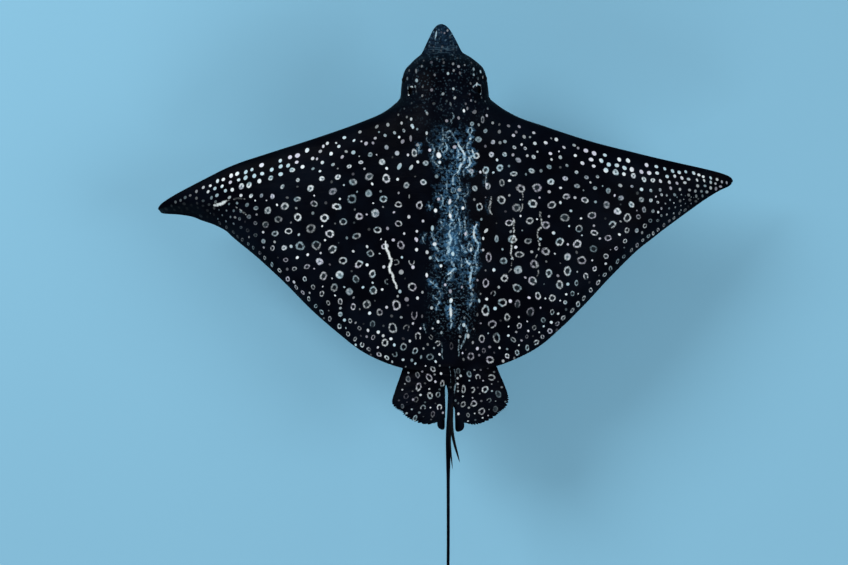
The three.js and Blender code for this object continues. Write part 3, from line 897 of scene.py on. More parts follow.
def finField(rings, dots):  # rings and dots on the pelvic fins
    area = areas["fin"]
    outline = {side: spline(pelvic["margin"][side], np.linspace(0, 1, 60)) for side in signs}

    def inside(side, x, back):
        line = outline[side]
        clear = np.hypot(abs(x) - line[:, 0], back - line[:, 1]).min() > 8
        hull = np.interp(back, line[:24, 1], line[:24, 0]) if back < 980 else area["out"]
        root = 22 if back < 940 else 20 if back < 990 else 42
        end = area["end"] - 0.0012 * (abs(x) - 60) ** 2
        return area["start"] < back < end and root < abs(x) < hull and clear

    scattered(rings, 1500, area, lambda x, back: 30, finRing, inside)
    scattered(dots, 1500, area, lambda x, back: 23, finDot,
              lambda side, x, back: inside(side, x, back) and rings.far(x, back, 6))


def dotField(dots, rings):  # small dots wherever no ring lies
    area = areas["dot"]

    def inside(side, x, back):
        out = abs(x)
        if not insideDisc(side, x, back) or back < area["start"] or back > area["end"]:
            return False
        front = gapTo("front", x, back)
        if front < 26 + 10 * eased(260, 150, out):
            return False
        if front < 100 and out > spotting["shoulder"] or out > 560 and front < 120:
            return False
        if out < 60 and 262 < back < 770 or out < 16 and back > 770:
            return False
        ringed = front > 60 and back > 300
        return rings.far(x, back, 8 if ringed else 6)

    def pitchOf(x, back):
        crowded = max(eased(480, 600, abs(x)), eased(640, 830, back))
        return spotting["dotPitch"] + 13 * (1 - crowded) + jitter(5)

    def lookOf(x, back):
        long = 3.7 * chance.uniform(0.62, 1.35)
        bright = (0.10 + 0.85 * chance.random()) * tipShade(x, back)
        short = long * chance.uniform(0.68, 1)
        return long, short, jitter(1.5), spotting["solid"], spotting["whole"], 0, bright

    scattered(dots, 8000, area, pitchOf, lookOf, inside)


# Spots near the middle: x, back, half length, half width, turn in degrees, hole, gap, fill, brightness.
# A hole of -1.5 is none, and a gap of 3 none.
middleRings = [
    (51, 365, 8, 7, 0, 0.2, 3, 1, 0.45), (58, 414, 9, 8, 0, 0.45, 3, 0.8, 0.6),
    (102, 420, 9, 8, 60, 0.4, 3, 0.5, 0.42), (-86, 306, 9, 7.5, 0, 0.25, 3, 1, 0.45),
    (-74, 432, 8, 7.5, 0, 0.3, 3, 1, 0.45), (-65, 388, 7, 6.5, 0, 0.3, 3, 1, 0.5),
    (-108, 426, 9, 7.5, 90, 0.4, 3, 0.6, 0.5), (-85, 479, 11, 9.5, 90, 0.55, 3, 0, 0.62),
    (123, 469, 10, 8, 0, 0.55, 3, 0, 0.55), (69, 472, 11, 9, 70, 0.55, 3, 0, 0.62),
    (124, 518, 10, 8, 0, 0.55, 3, 0, 0.55), (124, 336, 6.5, 6, 0, -1.5, 3, 1, 0.45),
    (119, 371, 9.5, 5.5, 60, -1.5, 3, 0, 0.6), (89, 375, 8, 4.5, 50, -1.5, 3, 0, 0.55),
    (109, 307, 6.5, 4.5, 45, -1.5, 3, 0, 0.4), (88, 300, 8, 3.5, 90, -1.5, 3, 0, 0.36),
    (-98, 255, 10, 5.5, 90, 0.45, 3, 0.2, 0.36), (-78, 235, 6, 5, 60, -1.5, 3, 0, 0.28),
    (84, 267, 5, 4.5, 0, -1.5, 3, 0, 0.62), (119, 573, 12, 9.5, -50, 0.55, 3, 0, 0.55),
    (92, 682, 12, 11.5, 0, 0.56, 3, 0, 0.62), (92, 617, 9.5, 9, -90, 0.6, 0.2, 0, 0.5),
    (120, 643, 7, 6.5, 0, -1.5, 3, 0, 0.42), (133, 617, 9, 8, 0, 0.6, 0.3, 0, 0.4),
    (157, 667, 8, 7.5, 180, 0.5, 0.2, 0, 0.32), (107, 714, 6, 6, 0, -1.5, 3, 0, 0.38),
    (134, 728, 14, 11, 90, 0.6, 3, 0, 0.66), (-107, 609, 13, 8.5, 90, 0.55, 3, 0, 0.55),
    (-128, 562, 9.5, 5.5, 90, 0.3, 3, 1, 0.4), (-145, 619, 10, 9.5, 0, 0.45, 3, 0.2, 0.5),
    (-98, 676, 12, 9, 90, 0.56, 3, 0, 0.62), (-147, 664, 11, 9, 45, 0.52, 3, 0, 0.6),
    (-141, 727, 12, 11, 0, 0.56, 3, 0, 0.6), (-118, 703, 7.5, 6.5, 90, 0.4, 0.3, 0.4, 0.36),
    (-101, 541, 7.5, 4, 45, -1.5, 3, 0, 0.6), (88, 753, 13.5, 8.5, -90, 0.62, 0.3, 0, 0.5),
    (145, 787, 14, 11, -75, 0.6, 3, 0, 0.52), (110, 790, 13, 8, 70, 0.6, 0.1, 0, 0.3),
    (80, 811, 12, 8, 90, 0.56, 0.4, 0, 0.55), (47, 812, 8, 5, -50, 0.5, 0.4, 0, 0.36),
    (166, 825, 10.5, 9, 90, 0.52, 3, 0, 0.62), (118, 836, 10.5, 9, 80, 0.55, 3, 0, 0.46),
    (88, 848, 9, 7.5, 60, 0.5, 3, 0, 0.55), (29, 829, 8, 7.5, 30, 0.5, 0.5, 0, 0.5),
    (50, 864, 11, 8.5, 20, 0.58, 3, 0, 0.42), (141, 855, 8.5, 7.5, -60, 0.5, 0.3, 0, 0.36),
    (-6, 836, 10, 5.5, 90, 0.5, 3, 0, 0.22), (-56, 864, 11, 9.5, 60, 0.55, 3, 0, 0.5),
    (-85, 820, 11.5, 8, 90, 0.55, 3, 0, 0.52), (-96, 747, 14.5, 10.5, 90, 0.58, 3, 0, 0.66),
    (-113, 783, 12, 10.5, 45, 0.58, 0.6, 0, 0.5), (-124, 818, 13.5, 9.5, 90, 0.56, 3, 0, 0.46),
    (-90, 851, 7.5, 5.5, 90, 0.45, 3, 0, 0.3), (-106, 875, 11, 9.5, 0, 0.52, 0.8, 0, 0.56),
    (-117, 703, 8, 7, 60, 0.5, 0.5, 0, 0.36), (43, 896, 8.5, 6.5, -40, 0.48, 3, 0, 0.55),
    (110, 922, 9, 7, 90, 0.5, 3, 0.2, 0.32), (55, 918, 11, 7.5, -70, 0.52, 3, 0, 0.55),
    (85, 942, 12, 7.5, 80, 0.52, 3, 0, 0.55), (23, 934, 9.5, 6, 80, 0.5, 0.8, 0, 0.5),
    (117, 965, 8, 7, 90, 0.55, 3, 0, 0.22), (55, 965, 10, 7.5, -75, 0.5, 3, 0, 0.5),
    (34, 963, 7.5, 6.5, 90, 0.5, 3, 0, 0.5), (71, 996, 7.5, 7.5, 90, 0.55, 0.4, 0, 0.44),
    (28, 996, 8.5, 6.5, 90, 0.5, 0.6, 0, 0.6), (44, 1013, 9, 5.5, 90, 0.5, 3, 0, 0.3),
    (-50, 911, 9, 6.5, -80, 0.5, 3, 0.2, 0.5), (-72, 920, 8.5, 6.5, 90, 0.5, 0.4, 0, 0.5),
    (-107, 922, 10, 9, 0, 0.52, 0.7, 0, 0.5), (-32, 950, 11, 5.5, 90, 0.48, 3, 0, 0.55),
    (-54, 953, 8.5, 8, 45, 0.52, 0.5, 0, 0.5), (-88, 952, 9.5, 8.5, 45, 0.5, 3, 0, 0.66),
    (-123, 965, 11, 7.5, -60, 0.52, 3, 0.2, 0.32), (-33, 989, 8.5, 6.5, 60, 0.5, 3, 0, 0.42),
    (-61, 988, 9, 8.5, 45, 0.52, 3, 0, 0.55), (-100, 981, 7, 6, 45, 0.5, 0.5, 0, 0.34),
    (-83, 1009, 10, 9, 30, 0.52, 3, 0, 0.48),
]


# Dots on the head, down the middle of the back and at the rear: x, back, half sizes and brightness.
blots = [
    (17, 346, 9, 6.5, 0.85), (15, 364, 4.5, 4.2, 0.8), (-24, 325, 5, 5.5, 0.55), (-9, 465, 8, 4.2, 0.7),
    (20, 458, 5, 4.5, 0.6), (28, 487, 5.5, 4.5, 0.85), (24, 400, 5.5, 5, 0.4), (-105, 422, 5, 4, 0.8),
    (-42, 482, 4.5, 4, 0.85), (47, 288, 5, 3.5, 0.55), (82, 271, 5, 4, 0.8), (40, 332, 4.5, 4, 0.9),
    (-34, 435, 6, 6, 0.4), (-9, 501, 8, 4, 0.8), (-14, 599, 6, 4.5, 0.9), (-6, 695, 6, 4.2, 0.45),
    (-7, 719, 7.5, 5, 0.85), (37, 532, 8, 4.5, 0.65), (32, 573, 5, 6, 0.7), (-48, 548, 5.5, 3.5, 0.75),
    (-61, 589, 6, 3.5, 0.6), (17, 629, 4.5, 4, 0.85), (7, 678, 4, 3.5, 0.7), (54, 652, 6, 3.5, 0.85),
    (77, 539, 4, 4, 0.7), (78, 561, 6, 4, 0.8), (52, 593, 5.5, 4.5, 0.55), (44, 608, 5, 4.5, 0.6),
    (43, 737, 5, 4.5, 0.5), (27, 773, 5, 4, 0.7), (61, 513, 4.2, 4, 0.65), (-36, 685, 3.6, 3, 0.45),
    (-13, 15, 4, 2.8, 0.45), (-5, 22, 3.2, 2.8, 0.42), (3, 20, 3.6, 3, 0.2), (-19, 33, 4, 3, 0.16),
    (9, 13, 3, 2.4, 0.14), (23, 58, 3.4, 3, 0.15), (25, 68, 3.6, 3, 0.15), (5, 69, 3.6, 3, 0.2),
    (2, 59, 4, 3.2, 0.22), (-9, 66, 3.6, 3, 0.16), (-27, 65, 3.8, 3, 0.2), (-35, 68, 3.2, 3, 0.16),
    (35, 57, 3.2, 3, 0.15), (16, 92, 4, 3.2, 0.24), (1, 95, 4, 3, 0.2), (-25, 82, 3.8, 3.2, 0.24),
    (-37, 91, 3.6, 3, 0.18), (31, 102, 4.8, 4, 0.26), (-1, 104, 4.6, 3.2, 0.26),
    (-25, 108, 4.4, 3.4, 0.44), (-39, 115, 4.4, 4, 0.58), (-55, 111, 3.4, 3, 0.42),
    (51, 96, 3.4, 3, 0.22), (67, 102, 3, 3, 0.14), (56, 112, 4.4, 3.6, 0.36), (89, 121, 4.2, 4, 0.26),
    (71, 124, 7.5, 3.6, 0.36), (94, 142, 5.5, 4.4, 0.34), (70, 149, 5.6, 4.6, 0.68),
    (74, 165, 3.6, 3, 0.48), (93, 167, 4.4, 3, 0.5), (91, 184, 4.2, 4, 1.0), (55, 167, 3.6, 3, 0.28),
    (32, 176, 5, 4.4, 0.4), (56, 190, 4, 3.4, 0.36), (72, 178, 4, 2.6, 0.22), (23, 137, 4.2, 3.2, 0.32),
    (-11, 134, 4.6, 3.6, 0.75), (-26, 126, 4, 3.4, 0.45), (-42, 133, 5, 3, 0.32),
    (-24, 174, 4.6, 3.8, 0.66), (3, 187, 4.8, 4.4, 0.5), (-27, 198, 4.4, 3.8, 0.55),
    (-27, 152, 3, 2.8, 0.15), (-16, 214, 6, 2.8, 0.3), (27, 212, 4, 5, 0.2), (-6, 206, 4, 3, 0.22),
    (-73, 104, 4.4, 3, 0.2), (-87, 107, 3.4, 3, 0.14), (-78, 122, 5, 4, 0.62), (-96, 128, 5.2, 3.8, 0.95),
    (-78, 137, 4.2, 3.8, 0.58), (-103, 142, 4.4, 3.6, 0.95), (-89, 147, 4.8, 3, 0.3),
    (-85, 162, 6.4, 3, 0.8), (-69, 160, 4, 3, 0.3), (-76, 169, 4, 3.2, 0.38), (-95, 165, 4, 3, 0.36),
    (-66, 188, 3.6, 3.4, 0.28), (-69, 205, 4.2, 3.2, 0.5), (-55, 214, 3.6, 3.2, 0.3),
    (-59, 226, 5, 3, 0.36), (45, 237, 5.5, 3.4, 0.32), (86, 250, 4.6, 4, 0.58), (111, 259, 4.6, 4, 0.5),
    (97, 244, 3.8, 3.4, 0.28), (119, 237, 3.8, 3.4, 0.26), (-109, 244, 4.4, 3.6, 0.6),
    (-74, 236, 3.8, 3.2, 0.3), (-80, 208, 3, 2.8, 0.3), (-97, 196, 3.2, 2.8, 0.26),
    (-106, 206, 3, 2.6, 0.3), (-112, 226, 3.4, 3, 0.32), (84, 208, 3.4, 3, 0.2), (103, 222, 3.2, 3, 0.2),
    (8, 228, 3.4, 3, 0.16), (-50, 232, 5, 3.4, 0.95), (-36, 251, 5, 3.6, 0.4), (71, 277, 3.8, 3.6, 0.42),
    (96, 342, 4.2, 4, 0.7), (-89, 390, 4.2, 4, 0.8), (124, 404, 4.2, 4, 0.75), (122, 439, 3.6, 3.2, 0.4),
    (95, 449, 6, 2.4, 0.3), (97, 501, 5.4, 4.6, 0.6), (110, 544, 3.8, 3.6, 0.7), (80, 559, 5.4, 4.4, 0.7),
    (79, 586, 4.8, 4.6, 0.75), (117, 605, 3.6, 3.4, 0.8), (89, 631, 4.8, 4.6, 0.8),
    (124, 693, 5.2, 4.6, 0.62), (130, 705, 3.6, 3.2, 0.42), (79, 711, 4.8, 4.2, 0.72),
    (66, 696, 4.2, 3.8, 0.42), (-120, 642, 4.8, 4.6, 0.85), (-98, 643, 3, 2.8, 0.3),
    (-100, 717, 4.4, 4.2, 0.8), (-80, 721, 6, 3.4, 0.7), (-84, 703, 3, 2.8, 0.3),
    (-98, 717, 3.6, 3.4, 0.5), (19, 801, 5, 3.4, 0.45), (-39, 783, 5.4, 4.6, 0.7),
    (-50, 812, 7, 4.2, 0.55), (-62, 829, 4.8, 3.4, 0.4), (101, 822, 4, 3.4, 0.62), (66, 842, 3.2, 3, 0.4),
    (39, 841, 3.2, 3, 0.5), (73, 864, 6, 3, 0.42), (97, 872, 5, 4, 0.42), (25, 887, 3.2, 3, 0.34),
    (-78, 862, 3.6, 3.4, 0.34), (-41, 764, 4.2, 3.2, 0.3), (-21, 936, 3.8, 3.4, 0.7),
    (-21, 945, 2.8, 2.4, 0.3), (-21, 955, 3.4, 3, 0.5), (-29, 915, 4, 3.4, 0.7),
    (-21, 921, 3.6, 3.4, 0.55), (-14, 979, 3.8, 3.2, 0.34), (-21, 986, 3.8, 3, 0.24),
    (-21, 1014, 4, 3.6, 0.66), (37, 929, 3.8, 3.4, 0.75), (22, 908, 3.8, 3.4, 0.7),
    (-1, 943, 3.6, 3.4, 0.3), (19, 1010, 3.6, 3.2, 0.5), (-75, 757, 5.4, 3, 0.24),
    (68, 758, 5.4, 3, 0.26), (122, 760, 3.6, 4.4, 0.4), (96, 975, 3.8, 3.4, 0.5),
]


# Pale lines: half width, brightness, share that is missing, and points (x, back). The streak along the spine
# and the lines down the middle of the back are partly pale marks and partly painted caustic light. Then come
# old grazes, lines on the head and at the rear, and painted light: dotted caustic lines on the right wing, a
# highlight on the left tip's fold, and highlights beside the dorsal fin.
streaks = [
    (1.9, 0.42, 0, [(31, 320), (29, 332), (33, 346), (31, 359), (18, 376), (8, 381)]),
    (1.4, 0.22, 0, [(46, 295), (47, 308), (36, 316)]),
    (2.2, 0.42, 0, [(4, 276), (6, 304), (4, 314), (13, 324), (17, 337)]),
    (2.0, 0.55, 0, [(-1, 313), (-5, 324), (-2, 334), (6, 337), (10, 331)]),
    (1.8, 0.38, 0, [(-13, 298), (-5, 302), (-2, 294), (-7, 285), (-15, 286), (-26, 302)]),
    (1.2, 0.25, 0, [(-15, 251), (-19, 260), (-15, 269)]),
    (2.6, 0.85, 0, [(-38, 312), (-35, 322), (-49, 343), (-49, 356), (-42, 368), (-34, 383), (-27, 393)]),
    (2.2, 0.65, 0, [(-32, 328), (-34, 340), (-32, 351), (-37, 358), (-44, 355)]),
    (1.7, 0.40, 0, [(-50, 321), (-43, 331)]),
    (2.4, 0.55, 0, [(-27, 393), (-20, 401), (-17, 414), (-19, 424)]),
    (1.6, 0.60, 0, [(-60, 289), (-63, 278), (-69, 277), (-71, 284), (-67, 292), (-60, 288)]),
    (2.0, 0.60, 0, [(-67, 292), (-69, 303), (-60, 314), (-57, 326), (-63, 346)]),
    (2.6, 0.85, 0, [(-72, 332), (-72, 345), (-64, 355), (-65, 365), (-58, 376), (-50, 380)]),
    (2.2, 0.60, 0, [(-58, 376), (-60, 387), (-68, 393), (-68, 401)]),
    (1.8, 0.45, 0, [(-50, 380), (-46, 387), (-46, 399)]),
    (1.4, 0.30, 0, [(-32, 399), (-36, 411), (-34, 424)]),
    (1.8, 0.35, 0, [(3, 414), (-2, 424), (1, 433)]),
    (1.6, 0.35, 0, [(-18, 444), (-12, 437), (-17, 430), (-25, 435), (-20, 443)]),
    (2.0, 0.50, 0, [(-27, 441), (-31, 452), (-24, 464), (-20, 473)]),
    (2.0, 0.45, 0, [(-11, 473), (-13, 488), (-10, 499)]),
    (1.7, 0.38, 0, [(-23, 473), (-29, 486), (-27, 499), (-20, 508)]),
    (1.8, 0.45, 0, [(19, 442), (11, 452), (9, 466), (12, 476), (20, 481)]),
    (1.8, 0.45, 0, [(45, 469), (43, 478), (39, 486)]),
    (1.5, 0.38, 0, [(-54, 420), (-57, 435), (-54, 447), (-45, 456), (-47, 471), (-52, 486)]),
    (2.0, 0.55, 0, [(64, 316), (68, 319), (69, 332), (72, 337)]),
    (2.6, 0.70, 0, [(-10, 477), (-9, 494), (-12, 510), (-18, 514)]),
    (1.6, 0.55, 0, [(-21, 534), (-10, 535), (-7, 526), (-14, 519), (-22, 524), (-17, 537)]),
    (3.0, 0.75, 0, [(-11, 536), (-6, 548), (-9, 563), (-4, 576), (-2, 593), (5, 604)]),
    (2.6, 0.55, 0, [(-9, 613), (-15, 627), (-18, 634)]),
    (1.8, 0.60, 0, [(-32, 508), (-34, 524), (-37, 535), (-29, 553)]),
    (2.3, 0.50, 0, [(-50, 505), (-46, 519), (-52, 547), (-49, 560)]),
    (2.2, 0.62, 0, [(-37, 577), (-44, 591), (-54, 596)]),
    (1.8, 0.50, 0, [(-58, 569), (-66, 580), (-62, 593), (-53, 584), (-58, 569)]),
    (2.0, 0.45, 0, [(-37, 610), (-37, 621), (-35, 635)]),
    (2.8, 0.50, 0, [(38, 544), (37, 555), (30, 564), (32, 574), (23, 594)]),
    (1.9, 0.50, 0, [(17, 511), (12, 523), (14, 537)]),
    (2.2, 0.58, 0, [(29, 599), (29, 610), (23, 618)]),
    (1.8, 0.42, 0, [(52, 545), (62, 554), (64, 563), (58, 572)]),
    (2.4, 0.90, 0, [(-18, 636), (-8, 646), (2, 653)]),
    (2.8, 0.42, 0, [(-15, 647), (-4, 661), (3, 669)]),
    (3.4, 0.95, 0, [(-6, 731), (-6, 749), (-6, 764)]),
    (2.0, 0.70, 0, [(-6, 764), (-7, 777), (-5, 795)]),
    (2.0, 0.60, 0, [(48, 666), (37, 676), (25, 685)]),
    (2.1, 0.45, 0, [(23, 691), (19, 710)]),
    (1.6, 0.48, 0, [(39, 704), (29, 715), (24, 723), (30, 734), (34, 746)]),
    (3.0, 1.0, 0, [(163, 563), (161, 586), (151, 607), (153, 636), (144, 659), (137, 686)]),
    (2.7, 0.90, 0, [(-80, 524), (-71, 539), (-72, 556), (-84, 577)]),
    (2.3, 0.62, 0, [(-84, 577), (-82, 589), (-73, 600), (-73, 614), (-78, 629), (-71, 647)]),
    (2.6, 0.80, 0, [(-49, 612), (-53, 623), (-62, 629), (-64, 641), (-59, 655), (-59, 689)]),
    (2.8, 0.50, 0, [(-62, 699), (-64, 711), (-61, 724), (-55, 740)]),
    # painted caustic light: dotted pale lines on the right wing
    (2.0, 0.55, 0.3, [(-112, 383), (-108, 405), (-106, 424)]),
    (2.4, 0.62, 0.2, [(-122, 454), (-116, 483), (-123, 500)]),
    (1.6, 0.42, 0.3, [(-204, 439), (-205, 476), (-195, 498)]),
    (2.4, 0.70, 0.35, [(-177, 498), (-181, 535), (-175, 569), (-170, 591), (-174, 618)]),
    (1.5, 0.40, 0.45, [(-172, 622), (-168, 640), (-155, 660), (-162, 690)]),
    (2.1, 0.62, 0.4, [(-248, 472), (-251, 513), (-254, 532), (-240, 545), (-244, 573), (-241, 602)]),
    (1.6, 0.42, 0.5, [(-241, 602), (-232, 621), (-240, 647), (-227, 677)]),
    # painted highlight along the crease of the left tip's fold
    (3.0, 0.95, 0, [(634, 458), (613, 455), (588, 446)]),
    (2.0, 0.30, 0.2, [(588, 446), (562, 442), (540, 444)]),
    (1.8, 0.40, 0.3, [(566, 464), (550, 476), (536, 486)]),
    (2.0, 0.66, 0, [(13, 16), (15, 27), (19, 38)]),
    (2.0, 0.72, 0, [(103, 186), (103, 173), (95, 165), (85, 167)]),
    (1.7, 0.62, 0, [(-78, 169), (-88, 162), (-101, 165), (-106, 178), (-100, 190)]),
    (2.2, 0.36, 0, [(49, 229), (42, 240)]),
    (1.7, 0.34, 0.2, [(-20, 236), (-24, 246), (-16, 256), (-19, 266)]),
    (1.9, 0.52, 0.35, [(-33, 779), (-27, 792), (-30, 804)]),
    (2.2, 0.60, 0.2, [(-42, 776), (-46, 790), (-48, 806), (-41, 820), (-36, 834), (-29, 846)]),
    (1.8, 0.46, 0.3, [(-27, 820), (-25, 838), (-26, 852), (-24, 868)]),
    (1.4, 0.28, 0.4, [(18, 826), (19, 850), (17, 872)]),
    (1.7, 0.40, 0.2, [(66, 778), (64, 792), (60, 804)]),
    # painted highlights along the edges beside the dorsal fin and the tail root
    (1.3, 0.24, 0.2, [(-1, 890), (0, 912), (1, 936)]),
    (3.6, 0.66, 0, [(-12, 936), (-11.5, 956), (-12.5, 974)]),
    (1.3, 0.24, 0.2, [(-12, 890), (-13, 918), (-12, 948)]),
]


class Runs:  # streaks cut into short straight runs: ends, half widths, brightness, and which is an end
    fields = ("x0", "back0", "x1", "back1", "size0", "size1", "bright", "first", "last")
    step = 4.0

    def __init__(self):
        self.rows = []

    def add(self, size, bright, missing, points):
        line = evened(spline(points, np.linspace(0, 1, 80)), self.step)
        share = np.linspace(0, 1, len(line))
        wander = np.sin(np.cumsum(chance.uniform(0.3, 1.3, len(line)))) * min(1.3, len(line) / 16)
        line[:, 0] += wander
        width = size * (0.5 + 0.5 * np.sin(math.pi * share) ** 0.5) * chance.uniform(0.78, 1.25, len(line))
        kept = chance.random(len(line)) >= missing
        for i in range(len(line) - 1):
            if kept[i]:
                first = i == 0 or not kept[i - 1]
                last = i == len(line) - 2 or not kept[i + 1]
                light = bright * chance.uniform(0.75, 1)
                self.rows.append((*line[i], *line[i + 1], width[i], width[i + 1], light, first, last))


def makeStreaks():
    runs = Runs()
    for size, bright, missing, points in streaks:
        runs.add(size, bright, missing, points)
    return columns(runs.fields, runs.rows)


def makeSpots():
    rings = Spots()
    dots = Spots()
    for x, back, long, short, turn, *look in middleRings:
        rings.add(x, back, long, short, math.radians(turn), *look)
    frontRows(rings)
    hindRow(rings)
    ringField(rings)
    for x, back, long, short, bright in blots:
        bright *= 1 - 0.2 * eased(235, 195, back)
        dots.add(x - float(sway(back)), back, long, short, math.pi / 2 + jitter(0.3), bright=bright)
    finField(rings, dots)
    dotField(dots, rings)
    print("spots", len(rings.rows), "large", len(dots.rows), "small")
    return [columns(spots.fields, spots.rows) for spots in (rings, dots)]


def nearestSpot(spots, centres, flatX):  # which spot each face shows
    owner = np.zeros(len(centres), int)
    for part in inChunks(len(centres), 8000):
        gone = np.hypot(centres[part, 0, None] - flatX, centres[part, 1, None] - spots["back"])
        owner[part] = (gone - spots["long"]).argmin(1)
    return owner


def alongRun(runs, flatX, flatBack):  # distance along and aside of runs, and their lengths
    ahead = np.stack([runs["x1"] - runs["x0"], runs["back1"] - runs["back0"]])
    length = np.maximum(np.hypot(*ahead), 0.01)
    ahead = ahead / length
    dx = flatX - runs["x0"]
    dy = flatBack - runs["back0"]
    return dx * ahead[0] + dy * ahead[1], dx * ahead[1] - dy * ahead[0], length


def nearestRun(runs, centres):  # which run each face shows
    owner = np.zeros(len(centres), int)
    for part in inChunks(len(centres), 4000):
        along, aside, length = alongRun(runs, centres[part, 0, None], centres[part, 1, None])
        beyond = along - np.clip(along, 0, length)
        owner[part] = np.hypot(beyond, aside).argmin(1)
    return owner


# What the skin's finish reads, written on every face corner.

atlas = {
    "metres": 1.6, "belly": 0.42, "finShift": 32, "finBack": 50, "whip": 975, "whipStrip": 745,
    "backAt": (0.5, 0.004), "bellyAt": (0.215, 0.7), "whipAt": (0.51, 0.72), "stripGap": 0.045,
    "stripHeight": 0.034, "claspersAt": {"clasperLeft": 0.52, "clasperRight": 0.62}, "dorsalAt": 0.74,
    "finsAt": 0.86,
}


def readOut(items, field, kind=int, width=1):
    values = np.empty(len(items) * width, kind)
    items.foreach_get(field, values)
    return values


def cornerData(piece):
    data = piece.data
    points = readOut(data.vertices, "co", float, 3).reshape(-1, 3) / mm
    points = points - np.array([0, snoutY / mm, flightHeight / mm])
    vertex = readOut(data.loops, "vertex_index")
    face = np.repeat(np.arange(len(data.polygons)), readOut(data.polygons, "loop_total"))
    kinds = [readOut(data.attributes[name].data, "value") for name in ("upper", "part")]
    return points, vertex, face, *kinds


def faceMean(values, face, count):  # corner values averaged over each face
    return np.bincount(face, values, count) / np.bincount(face, minlength=count)


def openness(points):  # 1 inside an opening, where painted shade darkens the skin
    inside = np.zeros(len(points))
    for x, back, z, size, turn in ellipsoids():
        gone = points - np.array([x, back, z])
        along = gone[:, 0] * math.cos(turn) + gone[:, 1] * math.sin(turn)
        aside = gone[:, 1] * math.cos(turn) - gone[:, 0] * math.sin(turn)
        depth = np.sqrt((along / size[0]) ** 2 + (aside / size[1]) ** 2 + (gone[:, 2] / size[2]) ** 2)
        inside = np.maximum(inside, depth < 1.03)
    return inside


def writeSkinData(piece):  # spots, lines, distances and the unwrapping
    points, vertex, face, upper, part = cornerData(piece)
    faces = len(part)
    x = points[:, 0] - sway(points[:, 1])
    back = points[:, 1]
    out = np.abs(x)
    middle = np.where(x > 0, middleOf("left", out, back), middleOf("right", out, back))
    under = np.clip((middle - points[:, 2]) / 4, -1, 1)[vertex]
    isBody = isPart(part, "body", "opening")
    under = np.where(isBody[face], under, np.where(upper[face] > 0, -1, 1))
    isDorsal = isPart(part, "dorsalFin")
    under[isDorsal[face]] = -1
    onTop = faceMean(under, face, faces) < 0
    flatX = np.where(isBody[face], across(x, back)[vertex], x[vertex])
    flatBack = back[vertex]
    centres = np.stack([faceMean(flatX, face, faces), faceMean(flatBack, face, faces)], 1)

    rings, dots = makeSpots()
    layers = {}
    plain = isPart(part, "clasperLeft", "clasperRight") | isDorsal & (upper == 0)
    spotted = (onTop & ~plain)[face]
    for name, spots in (("ring", rings), ("dot", dots)):
        inFin = spots["back"] > spotting["finStart"]
        spotX = np.where(inFin, spots["x"], across(spots["x"], spots["back"]))
        owner = nearestSpot(spots, centres, spotX)[face]
        dx = flatX - spotX[owner]
        dy = flatBack - spots["back"][owner]
        turn = spots["turn"][owner]
        along = (dx * np.cos(turn) + dy * np.sin(turn)) / spots["long"][owner]
        aside = (dy * np.cos(turn) - dx * np.sin(turn)) / spots["short"][owner]
        bright = np.where(spotted, spots["bright"][owner], 0)
        layers[name + "At"] = np.stack([along, aside, bright], 1)
        if name == "ring":
            layers["ringLook"] = np.stack([spots[key][owner] for key in ("hole", "gap", "fill")], 1)
    runs = makeStreaks()
    owner = nearestRun(runs, centres)[face]
    run = {name: values[owner] for name, values in runs.items()}
    along, aside, length = alongRun(run, flatX, flatBack)
    width = run["size0"] + (run["size1"] - run["size0"]) * np.clip(along / length, 0, 1)
    before = np.where(run["first"] > 0, -along, -9)
    beyond = np.maximum(before, np.where(run["last"] > 0, along - length, -9))
    onBack = onTop & ~plain & isPart(part, "body", "dorsalFin")
    light = np.where(onBack[face], run["bright"], 0)
    layers["streakAt"] = np.stack([aside / width, beyond / width, light], 1)
    pale = np.where(isBody[face], under - 2 * ease(880, 925, flatBack), under)  # the tail is dark all round
    layers["flat"] = np.stack([flatX * mm, flatBack * mm, pale], 1)
    inDisc = (back > 180) & (back < 912)
    front = np.where(inDisc, fromMargin("front", points[:, 0], back) + 60 * ease(250, 185, back), 400)
    hind = np.where(inDisc, fromMargin("hind", points[:, 0], back), 400)
    layers["edge"] = np.stack([front * mm, hind * mm, openness(points)], 1)[vertex]
    for name, values in layers.items():
        layer = piece.data.attributes.new(name, "FLOAT_VECTOR", "CORNER")
        layer.data.foreach_set("vector", values.astype(np.float32).ravel())

    uv = unwrapped(points, vertex, face, part, onTop, flatX, flatBack, centres)
    layer = piece.data.uv_layers.new(name="OFBake")
    layer.data.foreach_set("uv", uv.astype(np.float32).ravel())


